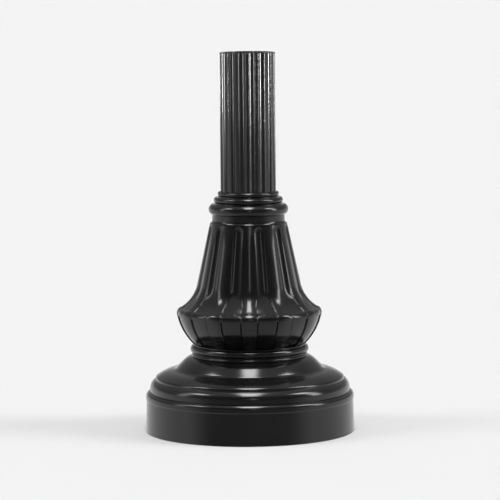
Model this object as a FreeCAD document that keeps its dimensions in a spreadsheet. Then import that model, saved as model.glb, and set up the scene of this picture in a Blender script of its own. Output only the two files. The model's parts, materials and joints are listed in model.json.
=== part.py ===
import FreeCAD
import Part
import Sketcher
import math
import os
import re

# Lower section of a cast lamp post: a round stepped base, a fluted bell over it and a fluted shaft that
# rises from the bell. Millimetres and degrees. +Z is up, the front of the post faces -Y, and the origin
# is the centre of the base on the ground.

SIZES = {
    # Skirt, the plain drum that stands on the ground
    "skirt_radius": 214.8,
    "skirt_draft": 2.2,
    "skirt_height": 82.0,
    "skirt_wall": 9.0,
    "lip_inset": 0.9,
    "lip_curve": 8.5,
    "lip_band": 6.5,
    "lip_quirk": 1.5,
    "ledge_reach": 24.0,
    "ledge_thickness": 10.0,
    "ledge_bolt_count": 6,
    "ledge_boss_radius": 8.8,
    "ledge_boss_height": 14.0,
    "ledge_tap_depth": 12.5,
    # Pedestal dome, from the skirt up to the neck
    "dome_height": 72.5,
    "dome_wall": 8.0,
    "torus_foot": 8.0,
    "torus_rise": 16.5,
    "torus_set_back": 9.7,
    "torus_curve": 18.9,
    "quirk_step": 1.8,
    "quirk_rise": 3.5,
    "roll_curve": 9.5,
    "slope_rise": 7.7,
    "cove_run": 9.5,
    "cove_rise": 6.5,
    "cove_curve": 14.0,
    "shoulder_run": 10.5,
    "shoulder_rise": 10.1,
    "brow_run": 16.0,
    "brow_curve": 45.0,
    "neck_ledge": 6.7,
    "flange_thickness": 10.0,
    # Neck ring, a bead and a torus between dome and bell
    "neck_radius": 115.3,
    "neck_bore": 84.0,
    "neck_bead_height": 5.6,
    "neck_bead_stand": 2.0,
    "neck_bead_curve": 3.2,
    "neck_quirk": 1.7,
    "neck_torus_height": 15.7,
    "neck_torus_curve": 8.0,
    "neck_fillet_height": 2.1,
    "neck_fillet_step": 2.0,
    "stack_bolt_circle": 95.0,
    "stack_bolt_count": 6,
    # Bell, heights above its own foot
    "bowl_height": 60.4,
    "bowl_radius": 148.6,
    "bowl_curve": 123.3,
    "rim_height": 76.7,
    "rim_radius": 139.2,
    "rim_curve": 12.75,
    "flare_curve": 73.6,
    "waist_height": 123.4,
    "waist_radius": 106.4,
    "crown_height": 248.4,
    "crown_radius": 79.2,
    "band_rise": 7.0,
    "band_height": 11.0,
    "band_radius": 74.5,
    "band_cove": 9.0,
    "bell_shell": 13.0,
    "bowl_shell": 12.3,
    "bowl_foot_wall": 9.0,
    "rim_shell_drop": 6.3,
    "rim_shell_step": 8.2,
    "rib_count": 12,
    # Flutes between the bell's ribs: height above the bell's foot, half angle and depth at each station
    "flute_top_drop": 12.0,
    "flute_top_angle": 7.5,
    "flute_top_depth": 6.0,
    "flute_waist_angle": 7.2,
    "flute_waist_depth": 7.4,
    "flute_sweep_height": 98.0,
    "flute_sweep_angle": 7.9,
    "flute_sweep_depth": 7.6,
    "flute_rim_angle": 9.2,
    "flute_rim_depth": 3.2,
    "flute_overcut": 3.0,
    # Panels between the ribs on the bell's bowl, its rim and the shelf above it
    "panel_angle": 9.0,
    "bowl_panel_depth": 3.0,
    "rim_panel_depth": 1.5,
    "shelf_panel_depth": 2.2,
    "shelf_panel_top": 92.0,
    # Shaft and its collar
    "shaft_radius": 57.0,
    "shaft_bore_radius": 49.0,
    "shaft_top": 777.2,
    "shaft_flute_count": 18,
    "shaft_flute_depth": 3.2,
    "shaft_flute_curve": 9.3,
    "spigot_radius": 50.5,
    "spigot_depth": 90.0,
    "slip": 0.4,
    "collar_height": 47.2,
    "collar_wall": 17.0,
    "collar_low_height": 21.6,
    "collar_low_curve": 11.6,
    "collar_mid_step": 7.8,
    "collar_mid_height": 12.0,
    "collar_mid_curve": 6.2,
    "collar_top_step": 14.6,
    "collar_top_height": 9.2,
    "collar_top_curve": 4.9,
    "collar_fillet": 2.2,
    "collar_fillet_step": 2.0,
    "set_screw_radius": 4.0,
    "set_screw_length": 15.0,
    "set_screw_spread": 60.0,
    # Anchor plate and the socket that holds the shaft
    "plate_side": 270.0,
    "plate_thickness": 18.0,
    "plate_corner": 30.0,
    "anchor_circle_radius": 140.0,
    "anchor_hole_radius": 13.0,
    "anchor_hole_count": 4,
    "socket_wall": 8.0,
    "socket_height": 132.0,
    "gusset_reach": 52.0,
    "gusset_height": 78.0,
    "gusset_thickness": 10.0,
    "gusset_nose": 12.0,
    "clamp_height": 122.0,
    "clamp_count": 6,
    "bush_radius": 36.0,
    "bush_wall": 4.0,
    "bush_flange": 6.0,
    "bush_flange_thickness": 3.0,
    # Access door in the back of the bell, heights above the bell's foot
    "door_bottom": 128.0,
    "door_top_drop": 18.4,
    "door_gap": 1.2,
    "door_corner": 10.0,
    "door_rest": 1.1,
    "door_draft": 12.0,
    "plug_outer_reach": 20.0,
    "plug_inner_reach": 28.0,
    "frame_lap": 8.0,
    "frame_land": 14.0,
    "frame_thickness": 6.0,
    "gasket_thickness": 2.2,
    "gasket_play": 0.1,
    "hinge_low_rise": 22.0,
    "hinge_high_drop": 34.0,
    "hinge_stand_off": 5.6,
    "hinge_barrel_radius": 5.0,
    "hinge_barrel_length": 13.0,
    "hinge_pin_radius": 2.5,
    "hinge_running_gap": 0.06,
    "hinge_web": 12.0,
    "lock_rise": 50.0,
    "lock_boss_radius": 13.0,
    "lock_barrel_radius": 7.0,
    "lock_head_radius": 9.5,
    "lock_head_thickness": 3.0,
    "lock_key_radius": 4.0,
    "lock_key_depth": 2.0,
    "lock_depth": 27.5,
    "cam_length": 29.0,
    "cam_half_width": 6.0,
    "cam_thickness": 3.0,
    "cam_screw_radius": 2.5,
    "cam_screw_reach": 7.5,
    "lock_sleeve_wall": 3.0,
    "lock_sleeve_length": 18.0,
    "lock_running_gap": 0.06,
    "lock_face": 1.0,
    "lock_sleeve_flange": 1.5,
    "lock_sleeve_flange_reach": 2.0,
    "lock_head_gap": 0.3,
    # Hand hole in the shaft behind the door, and what is wired there
    "hand_hole_width": 60.0,
    "hand_hole_corner": 22.0,
    "hand_hole_top_drop": 4.0,
    "edging_lip": 1.5,
    "rail_width": 35.0,
    "rail_web": 25.0,
    "rail_depth": 7.5,
    "rail_sheet": 1.0,
    "rail_rise": 2.0,
    "rail_length": 100.0,
    "rail_screw_radius": 2.0,
    "rail_screw_inset": 5.0,
    "terminal_rise": 12.0,
    "terminal_screw_radius": 2.2,
    "fuse_rise": 52.0,
    "carrier_gap": 0.3,
    "terminal_width": 42.0,
    "terminal_depth": 30.0,
    "terminal_pitch": 9.0,
    "terminal_count": 4,
    "fuse_base_height": 24.0,
    "carrier_width": 16.0,
    "carrier_height": 16.0,
    "carrier_depth": 18.0,
    "carrier_grip": 8.0,
    "fuse_radius": 2.6,
    "fuse_length": 12.0,
    # Fasteners: shank radius, half width across flats and head height
    "small_bolt_radius": 4.0,
    "small_bolt_head": 6.5,
    "small_bolt_head_height": 5.3,
    "large_bolt_radius": 5.0,
    "large_bolt_head": 8.0,
    "large_bolt_head_height": 6.4,
    "large_nut_height": 8.0,
    "large_washer_radius": 10.0,
    "large_washer_thickness": 2.0,
    "clamp_screw_radius": 6.0,
    "clamp_screw_head": 9.5,
    "clamp_screw_head_height": 7.5,
    "hole_play": 0.5,
    "earth_stud_radius": 4.0,
    "earth_stud_length": 24.0,
    "earth_boss_radius": 9.0,
    "earth_boss_depth": 8.0,
    "earth_boss_stand": 2.0,
    "earth_boss_root": 14.4,
    "earth_height": 104.0,
    "earth_nut_height": 6.0,
    "earth_washer_thickness": 1.6,
    "frame_screw_low_rise": 2.0,
    "frame_screw_high_drop": 10.0,
    "frame_screw_spread": 35.0,
    "frame_screw_radius": 2.5,
    "frame_screw_length": 19.5,
    "frame_screw_sink": 0.3,
    "clamp_nut_height": 6.0,
    "clamp_screw_play": 3.0,
    "hinge_axial_gap": 0.4,
    "web_root": 3.0,
}

# Words of the sheet that several parts share
LIP_RADIUS = "(skirt_radius - lip_inset)"
TORUS_RADIUS = "(skirt_radius - lip_inset - lip_curve)"
LEDGE_RADIUS = "(skirt_radius - skirt_draft - skirt_wall - ledge_reach)"
LEDGE_BOLT_CIRCLE = "(skirt_radius - skirt_draft - skirt_wall - ledge_reach / 2)"
DOME_TOP_RADIUS = "(neck_radius + neck_ledge)"
NECK_BASE = "(skirt_height + dome_height)"
NECK_HEIGHT = "(neck_bead_height + neck_quirk + neck_torus_height + neck_fillet_height)"
BELL_BASE = f"({NECK_BASE} + {NECK_HEIGHT})"
BAND_FOOT = "(crown_height + band_rise)"
BELL_HEIGHT = f"({BAND_FOOT} + band_height)"
FLUTE_TOP = "(crown_height - flute_top_drop)"
DOOR_TOP = "(crown_height - door_top_drop)"
HAND_HOLE_TOP = f"({DOOR_TOP} - hand_hole_top_drop)"
RAIL_BOTTOM = "(door_bottom + rail_rise)"
COLLAR_BASE = f"({BELL_BASE} + {BELL_HEIGHT})"
SHAFT_CLEARANCE_RADIUS = "(shaft_radius + slip)"
STACK_HOLE_RADIUS = "(large_bolt_radius + hole_play)"
REAR = 90.0
WORD = re.compile(r"\b[a-z][a-z_0-9]*\b(?!\()")
Z_AXIS = FreeCAD.Vector(0, 0, 1)

doc = FreeCAD.newDocument("LampPost")
sheet = doc.addObject("Spreadsheet::Sheet", "Sizes")
sub_parts = {}


def fill_sheet():
    for row, (word, number) in enumerate(SIZES.items(), start=1):
        sheet.set(f"A{row}", word)
        sheet.set(f"B{row}", str(number))
        sheet.setAlias(f"B{row}", word)
    doc.recompute()


def in_cells(text):
    """The text as an expression that reads the sheet."""
    return WORD.sub(lambda found: "Sizes." + found.group(), text)


def size(text):
    """The number that a word, or a sum of words, stands for."""
    return float(sheet.evalExpression(in_cells(text)))


def keep(node, shape_object):
    """Names an object as one of the post's pieces."""
    shape_object.Label = node
    sub_parts[node] = shape_object
    return shape_object


def point(across, up):
    return FreeCAD.Vector(across, up, 0)


def arc_centre(start, end, radius, bulge):
    """Centre of the short arc from start to end that bulges to the left or right of the way there."""
    chord = end - start
    left = FreeCAD.Vector(-chord.y, chord.x, 0).normalize()
    half = chord.Length / 2
    sagitta_centre = math.sqrt(max(radius**2 - half**2, 0))
    towards = -1 if bulge == "left" else 1
    return (start + end) * 0.5 + left * (towards * sagitta_centre)


def arc_edge(start, end, radius, bulge):
    """The arc as sketch geometry, which always turns anticlockwise, and whether it runs start to end."""
    centre = arc_centre(start, end, radius, bulge)
    forward = bulge == "right"
    first, last = (start, end) if forward else (end, start)
    angles = [math.atan2(p.y - centre.y, p.x - centre.x) for p in (first, last)]
    if angles[1] < angles[0]:
        angles[1] += 2 * math.pi
    circle = Part.Circle(centre, Z_AXIS, radius)
    return Part.ArcOfCircle(circle, angles[0], angles[1]), forward


def origin_plane(body, role):
    return next(plane for plane in body.Origin.OriginFeatures if plane.Role == role)


def new_sketch(body, name, role):
    sketch = body.newObject("Sketcher::SketchObject", name)
    sketch.AttachmentSupport = [(origin_plane(body, role), "")]
    sketch.MapMode = "FlatFace"
    return sketch


def bind(sketch, constraint, text):
    index = sketch.addConstraint(constraint)
    sketch.setExpression(f"Constraints[{index}]", in_cells(text))


def outline(body, name, role, points):
    """A closed outline on an origin plane. A point is (across, up) in words of the sheet. Where an arc
    leads to it, the arc's radius and the side that it bulges to come third and fourth."""
    sketch = new_sketch(body, name, role)
    places = [point(size(p[0]), size(p[1])) for p in points]
    ends = []
    for index, target in enumerate(points):
        start, end = places[index - 1], places[index]
        if len(target) == 2:
            sketch.addGeometry(Part.LineSegment(start, end))
            ends.append((1, 2))
        else:
            edge, forward = arc_edge(start, end, size(target[2]), target[3])
            sketch.addGeometry(edge)
            ends.append((1, 2) if forward else (2, 1))
            bind(sketch, Sketcher.Constraint("Radius", index, size(target[2])), target[2])
    for index, target in enumerate(points):
        following = (index + 1) % len(points)
        end = ends[index][1]
        sketch.addConstraint(Sketcher.Constraint("Coincident", index, end, following, ends[following][0]))
        across = Sketcher.Constraint("DistanceX", -1, 1, index, end, places[index].x)
        up = Sketcher.Constraint("DistanceY", -1, 1, index, end, places[index].y)
        bind(sketch, across, target[0])
        bind(sketch, up, target[1])
    return sketch


def circle_sketch(body, name, role, across, up, radius):
    sketch = new_sketch(body, name, role)
    sketch.addGeometry(Part.Circle(point(size(across), size(up)), Z_AXIS, size(radius)))
    bind(sketch, Sketcher.Constraint("DistanceX", -1, 1, 0, 3, size(across)), across)
    bind(sketch, Sketcher.Constraint("DistanceY", -1, 1, 0, 3, size(up)), up)
    bind(sketch, Sketcher.Constraint("Radius", 0, size(radius)), radius)
    return sketch


def new_body(name):
    return doc.addObject("PartDesign::Body", name)


def turned(name, points):
    """A body turned about the post's axis from half of its section."""
    body = new_body(name)
    sketch = outline(body, name + "Section", "XZ_Plane", points)
    turn = body.newObject("PartDesign::Revolution", name + "Turn")
    turn.Profile = sketch
    turn.ReferenceAxis = (sketch, ["V_Axis"])
    turn.Angle = 360
    return body


def pad(body, name, sketch, length, backwards=False):
    feature = body.newObject("PartDesign::Pad", name)
    feature.Profile = sketch
    feature.setExpression("Length", in_cells(length))
    feature.Reversed = backwards
    return feature


def pocket_through(body, name, sketch):
    """A hole right through the body, both ways from its sketch."""
    doc.recompute()
    before = body.Shape.Volume
    feature = body.newObject("PartDesign::Pocket", name)
    feature.Profile = sketch
    feature.Type = "ThroughAll"
    feature.Midplane = True
    doc.recompute()
    if body.Shape.Volume >= before:
        raise RuntimeError(f"{name} cuts nothing")
    return feature


def around(body, name, feature, count):
    """Repeats a feature at equal steps about the post's axis."""
    doc.recompute()
    pattern = body.newObject("PartDesign::PolarPattern", name)
    pattern.Originals = [feature]
    z_axis = next(axis for axis in body.Origin.OriginFeatures if axis.Role == "Z_Axis")
    pattern.Axis = (z_axis, [""])
    pattern.Angle = 360
    pattern.setExpression("Occurrences", in_cells(count))
    body.Tip = pattern
    return pattern


def cut(name, base, tool):
    result = doc.addObject("Part::Cut", name)
    result.Base = base
    result.Tool = tool
    return result


def common(name, base, tool):
    result = doc.addObject("Part::Common", name)
    result.Base = base
    result.Tool = tool
    return result


def fused(name, shapes):
    result = doc.addObject("Part::MultiFuse", name)
    result.Shapes = shapes
    return result


def feature_of(name, shape):
    result = doc.addObject("Part::Feature", name)
    result.Shape = shape
    return result


def spun(shape, angle):
    """A copy of the shape, turned about the post's axis."""
    copy = shape.copy()
    copy.rotate(FreeCAD.Vector(0, 0, 0), Z_AXIS, angle)
    return copy


def ring_of(shape, angles):
    return Part.makeCompound([spun(shape, angle) for angle in angles])


def equal_angles(count, first=0.0):
    return [first + 360.0 * step / count for step in range(count)]


def hexagon_prism(half_width, height, base):
    corner = half_width / math.cos(math.pi / 6)
    corners = [
        FreeCAD.Vector(corner * math.cos(step * math.pi / 3), corner * math.sin(step * math.pi / 3), 0)
        for step in range(7)
    ]
    prism = Part.Face(Part.makePolygon(corners)).extrude(FreeCAD.Vector(0, 0, height))
    prism.translate(base)
    return prism


def triangle_prism(corner, height):
    angles = [math.radians(angle) for angle in equal_angles(3)]
    corners = [FreeCAD.Vector(corner * math.cos(a), corner * math.sin(a), 0) for a in angles]
    return Part.Face(Part.makePolygon(corners + corners[:1])).extrude(FreeCAD.Vector(0, 0, height))


def hex_screw(radius, length, half_width, head_height):
    """A hex headed screw that points down, with the underside of its head at the origin."""
    head = hexagon_prism(half_width, head_height, FreeCAD.Vector(0, 0, 0))
    shank = Part.makeCylinder(radius, length, FreeCAD.Vector(0, 0, 0), FreeCAD.Vector(0, 0, -1))
    return head.fuse(shank)


def placed(shape, position, direction):
    """A copy of the shape with its +Z turned to a direction and its origin moved to a position."""
    copy = shape.copy()
    copy.Placement = FreeCAD.Placement(position, FreeCAD.Rotation(Z_AXIS, direction))
    return copy


def hole_ring(body, name, across, up, radius, count):
    """Holes right through the body, evenly spaced about the post's axis."""
    sketch = circle_sketch(body, name + "Circle", "XY_Plane", across, up, radius)
    pocket = pocket_through(body, name + "Pocket", sketch)
    return around(body, name, pocket, count)


# Skirt, dome and neck ring


def make_skirt():
    body = turned(
        "Skirt",
        [
            ("skirt_radius", "0"),
            ("skirt_radius - skirt_draft", "skirt_height - lip_curve - lip_band - lip_quirk"),
            (LIP_RADIUS, "skirt_height - lip_curve - lip_band"),
            (LIP_RADIUS, "skirt_height - lip_curve"),
            (TORUS_RADIUS, "skirt_height", "lip_curve", "right"),
            (LEDGE_RADIUS, "skirt_height"),
            (LEDGE_RADIUS, "skirt_height - ledge_thickness"),
            ("skirt_radius - skirt_draft - skirt_wall", "skirt_height - ledge_thickness"),
            ("skirt_radius - skirt_wall", "0"),
        ],
    )
    hole = "small_bolt_radius + hole_play"
    hole_ring(body, "LedgeHoles", LEDGE_BOLT_CIRCLE, "0", hole, "ledge_bolt_count")
    return keep("plinth_skirt", body)


def dome_section():
    """Half section of the dome: torus, quirk, rolled edge, slope, cove, shoulder and the neck's seat."""
    quirk_radius = f"({TORUS_RADIUS} - torus_set_back - quirk_step)"
    torus_top = "(skirt_height + torus_foot + torus_rise)"
    roll_top = f"({torus_top} + quirk_rise + roll_curve)"
    shoulder_radius = f"({DOME_TOP_RADIUS} + brow_run)"
    cove_radius = f"({shoulder_radius} + shoulder_run)"
    slope_end = f"({cove_radius} + cove_run)"
    slope_top = f"({roll_top} + slope_rise)"
    cove_top = f"({slope_top} + cove_rise)"
    shoulder_top = f"({cove_top} + shoulder_rise)"
    return [
        (TORUS_RADIUS, "skirt_height"),
        (TORUS_RADIUS, "skirt_height + torus_foot"),
        (f"{TORUS_RADIUS} - torus_set_back", torus_top, "torus_curve", "right"),
        (quirk_radius, torus_top),
        (quirk_radius, f"{torus_top} + quirk_rise"),
        (f"{quirk_radius} - roll_curve", roll_top, "roll_curve", "right"),
        (slope_end, slope_top),
        (cove_radius, cove_top, "cove_curve", "left"),
        (shoulder_radius, shoulder_top),
        (DOME_TOP_RADIUS, NECK_BASE, "brow_curve", "right"),
        ("neck_bore", NECK_BASE),
        ("neck_bore", f"{NECK_BASE} - flange_thickness"),
        (f"{shoulder_radius} - dome_wall", f"{NECK_BASE} - flange_thickness"),
        (f"{cove_radius} - dome_wall", f"{cove_top} - dome_wall / 2"),
        (f"{slope_end} - dome_wall / 2", f"{slope_top} - dome_wall"),
        (f"{quirk_radius} - roll_curve", f"{roll_top} - dome_wall"),
        (f"{TORUS_RADIUS} - dome_wall", "skirt_height + torus_foot"),
        (f"{TORUS_RADIUS} - dome_wall", "skirt_height"),
    ]


def make_dome():
    """The dome is a shell with a boss inside over each bolt of the skirt's ledge."""
    shell = turned("DomeShell", dome_section())
    hole_ring(shell, "DomeHoles", "stack_bolt_circle", "0", STACK_HOLE_RADIUS, "stack_bolt_count")
    base = FreeCAD.Vector(size(LEDGE_BOLT_CIRCLE), 0, size("skirt_height"))
    boss = Part.makeCylinder(size("ledge_boss_radius"), size("ledge_boss_height"), base)
    tap = Part.makeCylinder(size("small_bolt_radius"), size("ledge_tap_depth"), base)
    angles = equal_angles(int(size("ledge_bolt_count")))
    bosses = feature_of("DomeBosses", ring_of(boss, angles))
    taps = feature_of("DomeTaps", ring_of(tap, angles))
    return keep("pedestal_dome", cut("Dome", fused("DomeBossed", [shell, bosses]), taps))


def make_neck_ring():
    bead_radius = "neck_radius + neck_bead_stand"
    bead_top = f"{NECK_BASE} + neck_bead_height"
    torus_foot = f"{bead_top} + neck_quirk"
    torus_top = f"{torus_foot} + neck_torus_height"
    fillet_radius = "neck_radius - neck_fillet_step"
    body = turned(
        "NeckRing",
        [
            ("neck_bore", NECK_BASE),
            (bead_radius, NECK_BASE),
            (bead_radius, bead_top, "neck_bead_curve", "right"),
            ("neck_radius", bead_top),
            ("neck_radius", torus_foot),
            ("neck_radius", torus_top, "neck_torus_curve", "right"),
            (fillet_radius, torus_top),
            (fillet_radius, BELL_BASE),
            ("neck_bore", BELL_BASE),
        ],
    )
    hole_ring(body, "NeckHoles", "stack_bolt_circle", "0", STACK_HOLE_RADIUS, "stack_bolt_count")
    return keep("neck_ring", body)


# Bell


def on_bell(height):
    return f"({BELL_BASE} + {height})"


def cone_radius(height):
    """Words for the radius of the bell's straight cone at a height above the bell's foot."""
    fall = "(waist_radius - crown_radius) / (crown_height - waist_height)"
    return f"(waist_radius - ({height} - waist_height) * {fall})"


def bell_section():
    """Half section of the bell before it is fluted, up its outside and down its inside."""
    return [
        ("neck_radius", BELL_BASE),
        ("bowl_radius", on_bell("bowl_height"), "bowl_curve", "right"),
        ("rim_radius", on_bell("rim_height"), "rim_curve", "right"),
        ("waist_radius", on_bell("waist_height"), "flare_curve", "left"),
        ("crown_radius", on_bell("crown_height")),
        ("band_radius", on_bell(BAND_FOOT), "band_cove", "left"),
        ("band_radius", on_bell(BELL_HEIGHT)),
        (SHAFT_CLEARANCE_RADIUS, on_bell(BELL_HEIGHT)),
        (SHAFT_CLEARANCE_RADIUS, on_bell(BAND_FOOT)),
        ("crown_radius - bell_shell", on_bell("crown_height")),
        ("waist_radius - bell_shell", on_bell("waist_height")),
        (
            "rim_radius - rim_shell_step",
            on_bell("rim_height - rim_shell_drop"),
            "flare_curve + bell_shell",
            "right",
        ),
        ("bowl_radius - bowl_shell", on_bell("bowl_height")),
        (
            "neck_radius - bowl_foot_wall",
            on_bell("flange_thickness"),
            "bowl_curve - bowl_shell",
            "left",
        ),
        ("neck_bore", on_bell("flange_thickness")),
        ("neck_bore", BELL_BASE),
    ]


def radius_on_arc(start, end, curve, bulge, height):
    """Radius at a height on an arc of the bell's outline, whose ends are (radius, height) in words."""
    ends = [point(size(place[0]), size(place[1])) for place in (start, end)]
    centre = arc_centre(ends[0], ends[1], size(curve), bulge)
    reach = math.sqrt(size(curve) ** 2 - (height - centre.y) ** 2)
    return centre.x - reach if bulge == "left" else centre.x + reach


def crest_radius(height):
    """Radius of a rib's crest at a height above the bell's foot."""
    if height >= size("waist_height"):
        return size(cone_radius(str(height)))
    rim = ("rim_radius", "rim_height")
    if height >= size("rim_height"):
        return radius_on_arc(rim, ("waist_radius", "waist_height"), "flare_curve", "left", height)
    bowl = ("bowl_radius", "bowl_height")
    return radius_on_arc(("neck_radius", "0"), bowl, "bowl_curve", "right", height)


def flute_curve(radius, half_angle, depth):
    """Radius of the circle that cuts a flute so wide and so deep into a crest of this radius."""
    half_chord = radius * math.sin(math.radians(half_angle))
    sagitta = depth - radius * (1 - math.cos(math.radians(half_angle)))
    return (half_chord**2 + sagitta**2) / (2 * sagitta), half_chord


def flute_wire(height, half_angle, depth):
    """The cross section of a flute's cutter, a little wider and further out than the flute itself."""
    crest = crest_radius(height)
    curve, half_chord = flute_curve(crest, half_angle, depth)
    side = half_chord * 1.06
    centre = crest - depth + curve
    edge = centre - math.sqrt(curve**2 - side**2)
    outside = crest + size("flute_overcut")
    level = size(BELL_BASE) + height
    places = ((edge, side), (outside, side), (outside, -side), (edge, -side))
    corners = [FreeCAD.Vector(x, y, level) for x, y in places]
    arc = Part.Arc(corners[3], FreeCAD.Vector(crest - depth, 0, level), corners[0]).toShape()
    lines = [Part.makeLine(corners[step], corners[step + 1]) for step in range(3)]
    return Part.Wire([arc] + lines)


def flute_loft(stations):
    wires = [flute_wire(size(height), size(angle), size(depth)) for height, angle, depth in stations]
    return Part.makeLoft(wires, True, False)


def upper_flute():
    """A flute of the bell's cone and flare, with a ball end at its top."""
    middle = tuple(
        f"({top} + {waist}) / 2"
        for top, waist in (
            (FLUTE_TOP, "waist_height"),
            ("flute_top_angle", "flute_waist_angle"),
            ("flute_top_depth", "flute_waist_depth"),
        )
    )
    trough = flute_loft(
        [
            (FLUTE_TOP, "flute_top_angle", "flute_top_depth"),
            middle,
            ("waist_height", "flute_waist_angle", "flute_waist_depth"),
            ("flute_sweep_height", "flute_sweep_angle", "flute_sweep_depth"),
            ("rim_height", "flute_rim_angle", "flute_rim_depth"),
        ]
    )
    crest = crest_radius(size(FLUTE_TOP))
    depth = size("flute_top_depth")
    curve = flute_curve(crest, size("flute_top_angle"), depth)[0]
    ball = Part.makeSphere(curve, FreeCAD.Vector(crest - depth + curve, 0, size(on_bell(FLUTE_TOP))))
    return trough.fuse(ball)


def arc_between(centre, radius, first, last):
    """An arc in the bell's section, between two angles about a centre that is (radius, height)."""
    angles = (first, (first + last) / 2, last)
    places = [(centre.x + radius * math.cos(a), centre.y + radius * math.sin(a)) for a in angles]
    return Part.Arc(*[FreeCAD.Vector(across, 0, up) for across, up in places]).toShape()


def panel_cutter(start, end, curve, bulge, depth, before=0.0, past=0.0):
    """Cuts a panel to a depth under a rising arc of the bell's outline, and some degrees past its ends."""
    centre = arc_centre(start, end, curve, bulge)
    first, last = (math.atan2(p.y - centre.y, p.x - centre.x) for p in (start, end))
    turn = 1 if bulge == "right" else -1
    first -= turn * math.radians(before)
    last += turn * math.radians(past)
    under = arc_between(centre, curve - turn * depth, first, last)
    over = arc_between(centre, curve + turn * size("flute_overcut"), last, first)
    ends = [under.Vertexes[0].Point, under.Vertexes[1].Point, over.Vertexes[0].Point, over.Vertexes[1].Point]
    sides = [Part.makeLine(ends[1], ends[2]), Part.makeLine(ends[3], ends[0])]
    face = Part.Face(Part.Wire([under, sides[0], over, sides[1]]))
    half_angle = size("panel_angle")
    sector = spun(face, -half_angle).revolve(FreeCAD.Vector(0, 0, 0), Z_AXIS, half_angle * 2)
    sector.translate(FreeCAD.Vector(0, 0, size(BELL_BASE)))
    return sector


def panel():
    """A panel between two ribs: down the shelf, over the rim and down the bowl, past the bell's foot."""
    foot = point(size("neck_radius"), 0)
    bowl = point(size("bowl_radius"), size("bowl_height"))
    rim = point(size("rim_radius"), size("rim_height"))
    top = size("shelf_panel_top")
    shelf = point(crest_radius(top), top)
    bowl_cutter = panel_cutter(foot, bowl, size("bowl_curve"), "right", size("bowl_panel_depth"), before=3)
    rim_cutter = panel_cutter(bowl, rim, size("rim_curve"), "right", size("rim_panel_depth"), past=8)
    shelf_cutter = panel_cutter(rim, shelf, size("flare_curve"), "left", size("shelf_panel_depth"))
    return bowl_cutter.fuse(rim_cutter).fuse(shelf_cutter)


def make_fluted_bell():
    blank = turned("BellBlank", bell_section())
    half_pitch = 180.0 / size("rib_count")
    angles = equal_angles(int(size("rib_count")), half_pitch)
    flutes = feature_of("BellFlutes", ring_of(upper_flute(), angles))
    panels = feature_of("BellPanels", ring_of(panel(), angles))
    return cut("FlutedBell", cut("BellUpperFluted", blank, flutes), panels)


# Places on the bell's cone


def crest_placement(azimuth, height):
    """A frame on the cone at a height above the bell's foot: X points out, Y round and Z up the rib."""
    lean = math.atan(size("(waist_radius - crown_radius) / (crown_height - waist_height)"))
    turn = math.radians(azimuth)
    out = FreeCAD.Vector(math.cos(turn) * math.cos(lean), math.sin(turn) * math.cos(lean), math.sin(lean))
    around_post = FreeCAD.Vector(-math.sin(turn), math.cos(turn), 0)
    radius = size(cone_radius(str(height)))
    spot = FreeCAD.Vector(radius * math.cos(turn), radius * math.sin(turn), size(BELL_BASE) + height)
    return FreeCAD.Placement(spot, FreeCAD.Rotation(out, around_post, out.cross(around_post), "ZXY"))


def moved(shape, placement):
    copy = shape.copy()
    copy.Placement = placement
    return copy


def outward_cylinder(radius, start, end):
    """A cylinder along X of a frame on the cone."""
    base = FreeCAD.Vector(start, 0, 0)
    return Part.makeCylinder(radius, end - start, base, FreeCAD.Vector(1, 0, 0))


# Access door: everything is cut with tapered plugs that point straight out of the bell's back


DOOR_LEAN = "(cos(360 / rib_count) * (waist_radius - crown_radius) / (crown_height - waist_height))"
DOOR_LENGTH = f"(({DOOR_TOP} - door_bottom) / cos(atan({DOOR_LEAN})))"


def plug_outline(body, name, growth, depth):
    """A tapered outline with round corners, at a depth behind the plane of the door's side edges."""
    widen = f"({growth} + ({depth}) * tan(door_draft))"
    low_half = f"(sin(360 / rib_count) * {cone_radius('door_bottom')} + {widen})"
    high_half = f"(sin(360 / rib_count) * {cone_radius(DOOR_TOP)} + {widen})"
    foot = f"(0 - {widen})"
    head = f"({DOOR_LENGTH} + {widen})"
    sketch = outline(
        body,
        name,
        "XZ_Plane",
        [
            (f"{low_half} - door_corner", foot),
            (low_half, f"{foot} + door_corner", "door_corner", "right"),
            (high_half, f"{head} - door_corner"),
            (f"{high_half} - door_corner", head, "door_corner", "right"),
            (f"door_corner - {high_half}", head),
            (f"0 - {high_half}", f"{head} - door_corner", "door_corner", "right"),
            (f"0 - {low_half}", f"{foot} + door_corner"),
            (f"door_corner - {low_half}", foot, "door_corner", "right"),
        ],
    )
    sketch.setExpression("AttachmentOffset.Base.z", in_cells(f"0 - ({depth})"))
    return sketch


def door_plug(name, growth):
    """A tapered plug through the bell's back, as far past the door's edges as growth says."""
    body = new_body(name)
    outer = plug_outline(body, name + "Outer", growth, "plug_outer_reach")
    inner = plug_outline(body, name + "Inner", growth, "0 - plug_inner_reach")
    loft = body.newObject("PartDesign::AdditiveLoft", name + "Loft")
    loft.Profile = outer
    loft.Sections = [(inner, [""])]
    loft.Ruled = True
    spot = FreeCAD.Vector(
        0,
        size(f"cos(360 / rib_count) * {cone_radius('door_bottom')}"),
        size(on_bell("door_bottom")),
    )
    lean = math.degrees(math.atan(size(DOOR_LEAN)))
    body.Placement = FreeCAD.Placement(spot, FreeCAD.Rotation(FreeCAD.Vector(1, 0, 0), lean))
    return body


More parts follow.
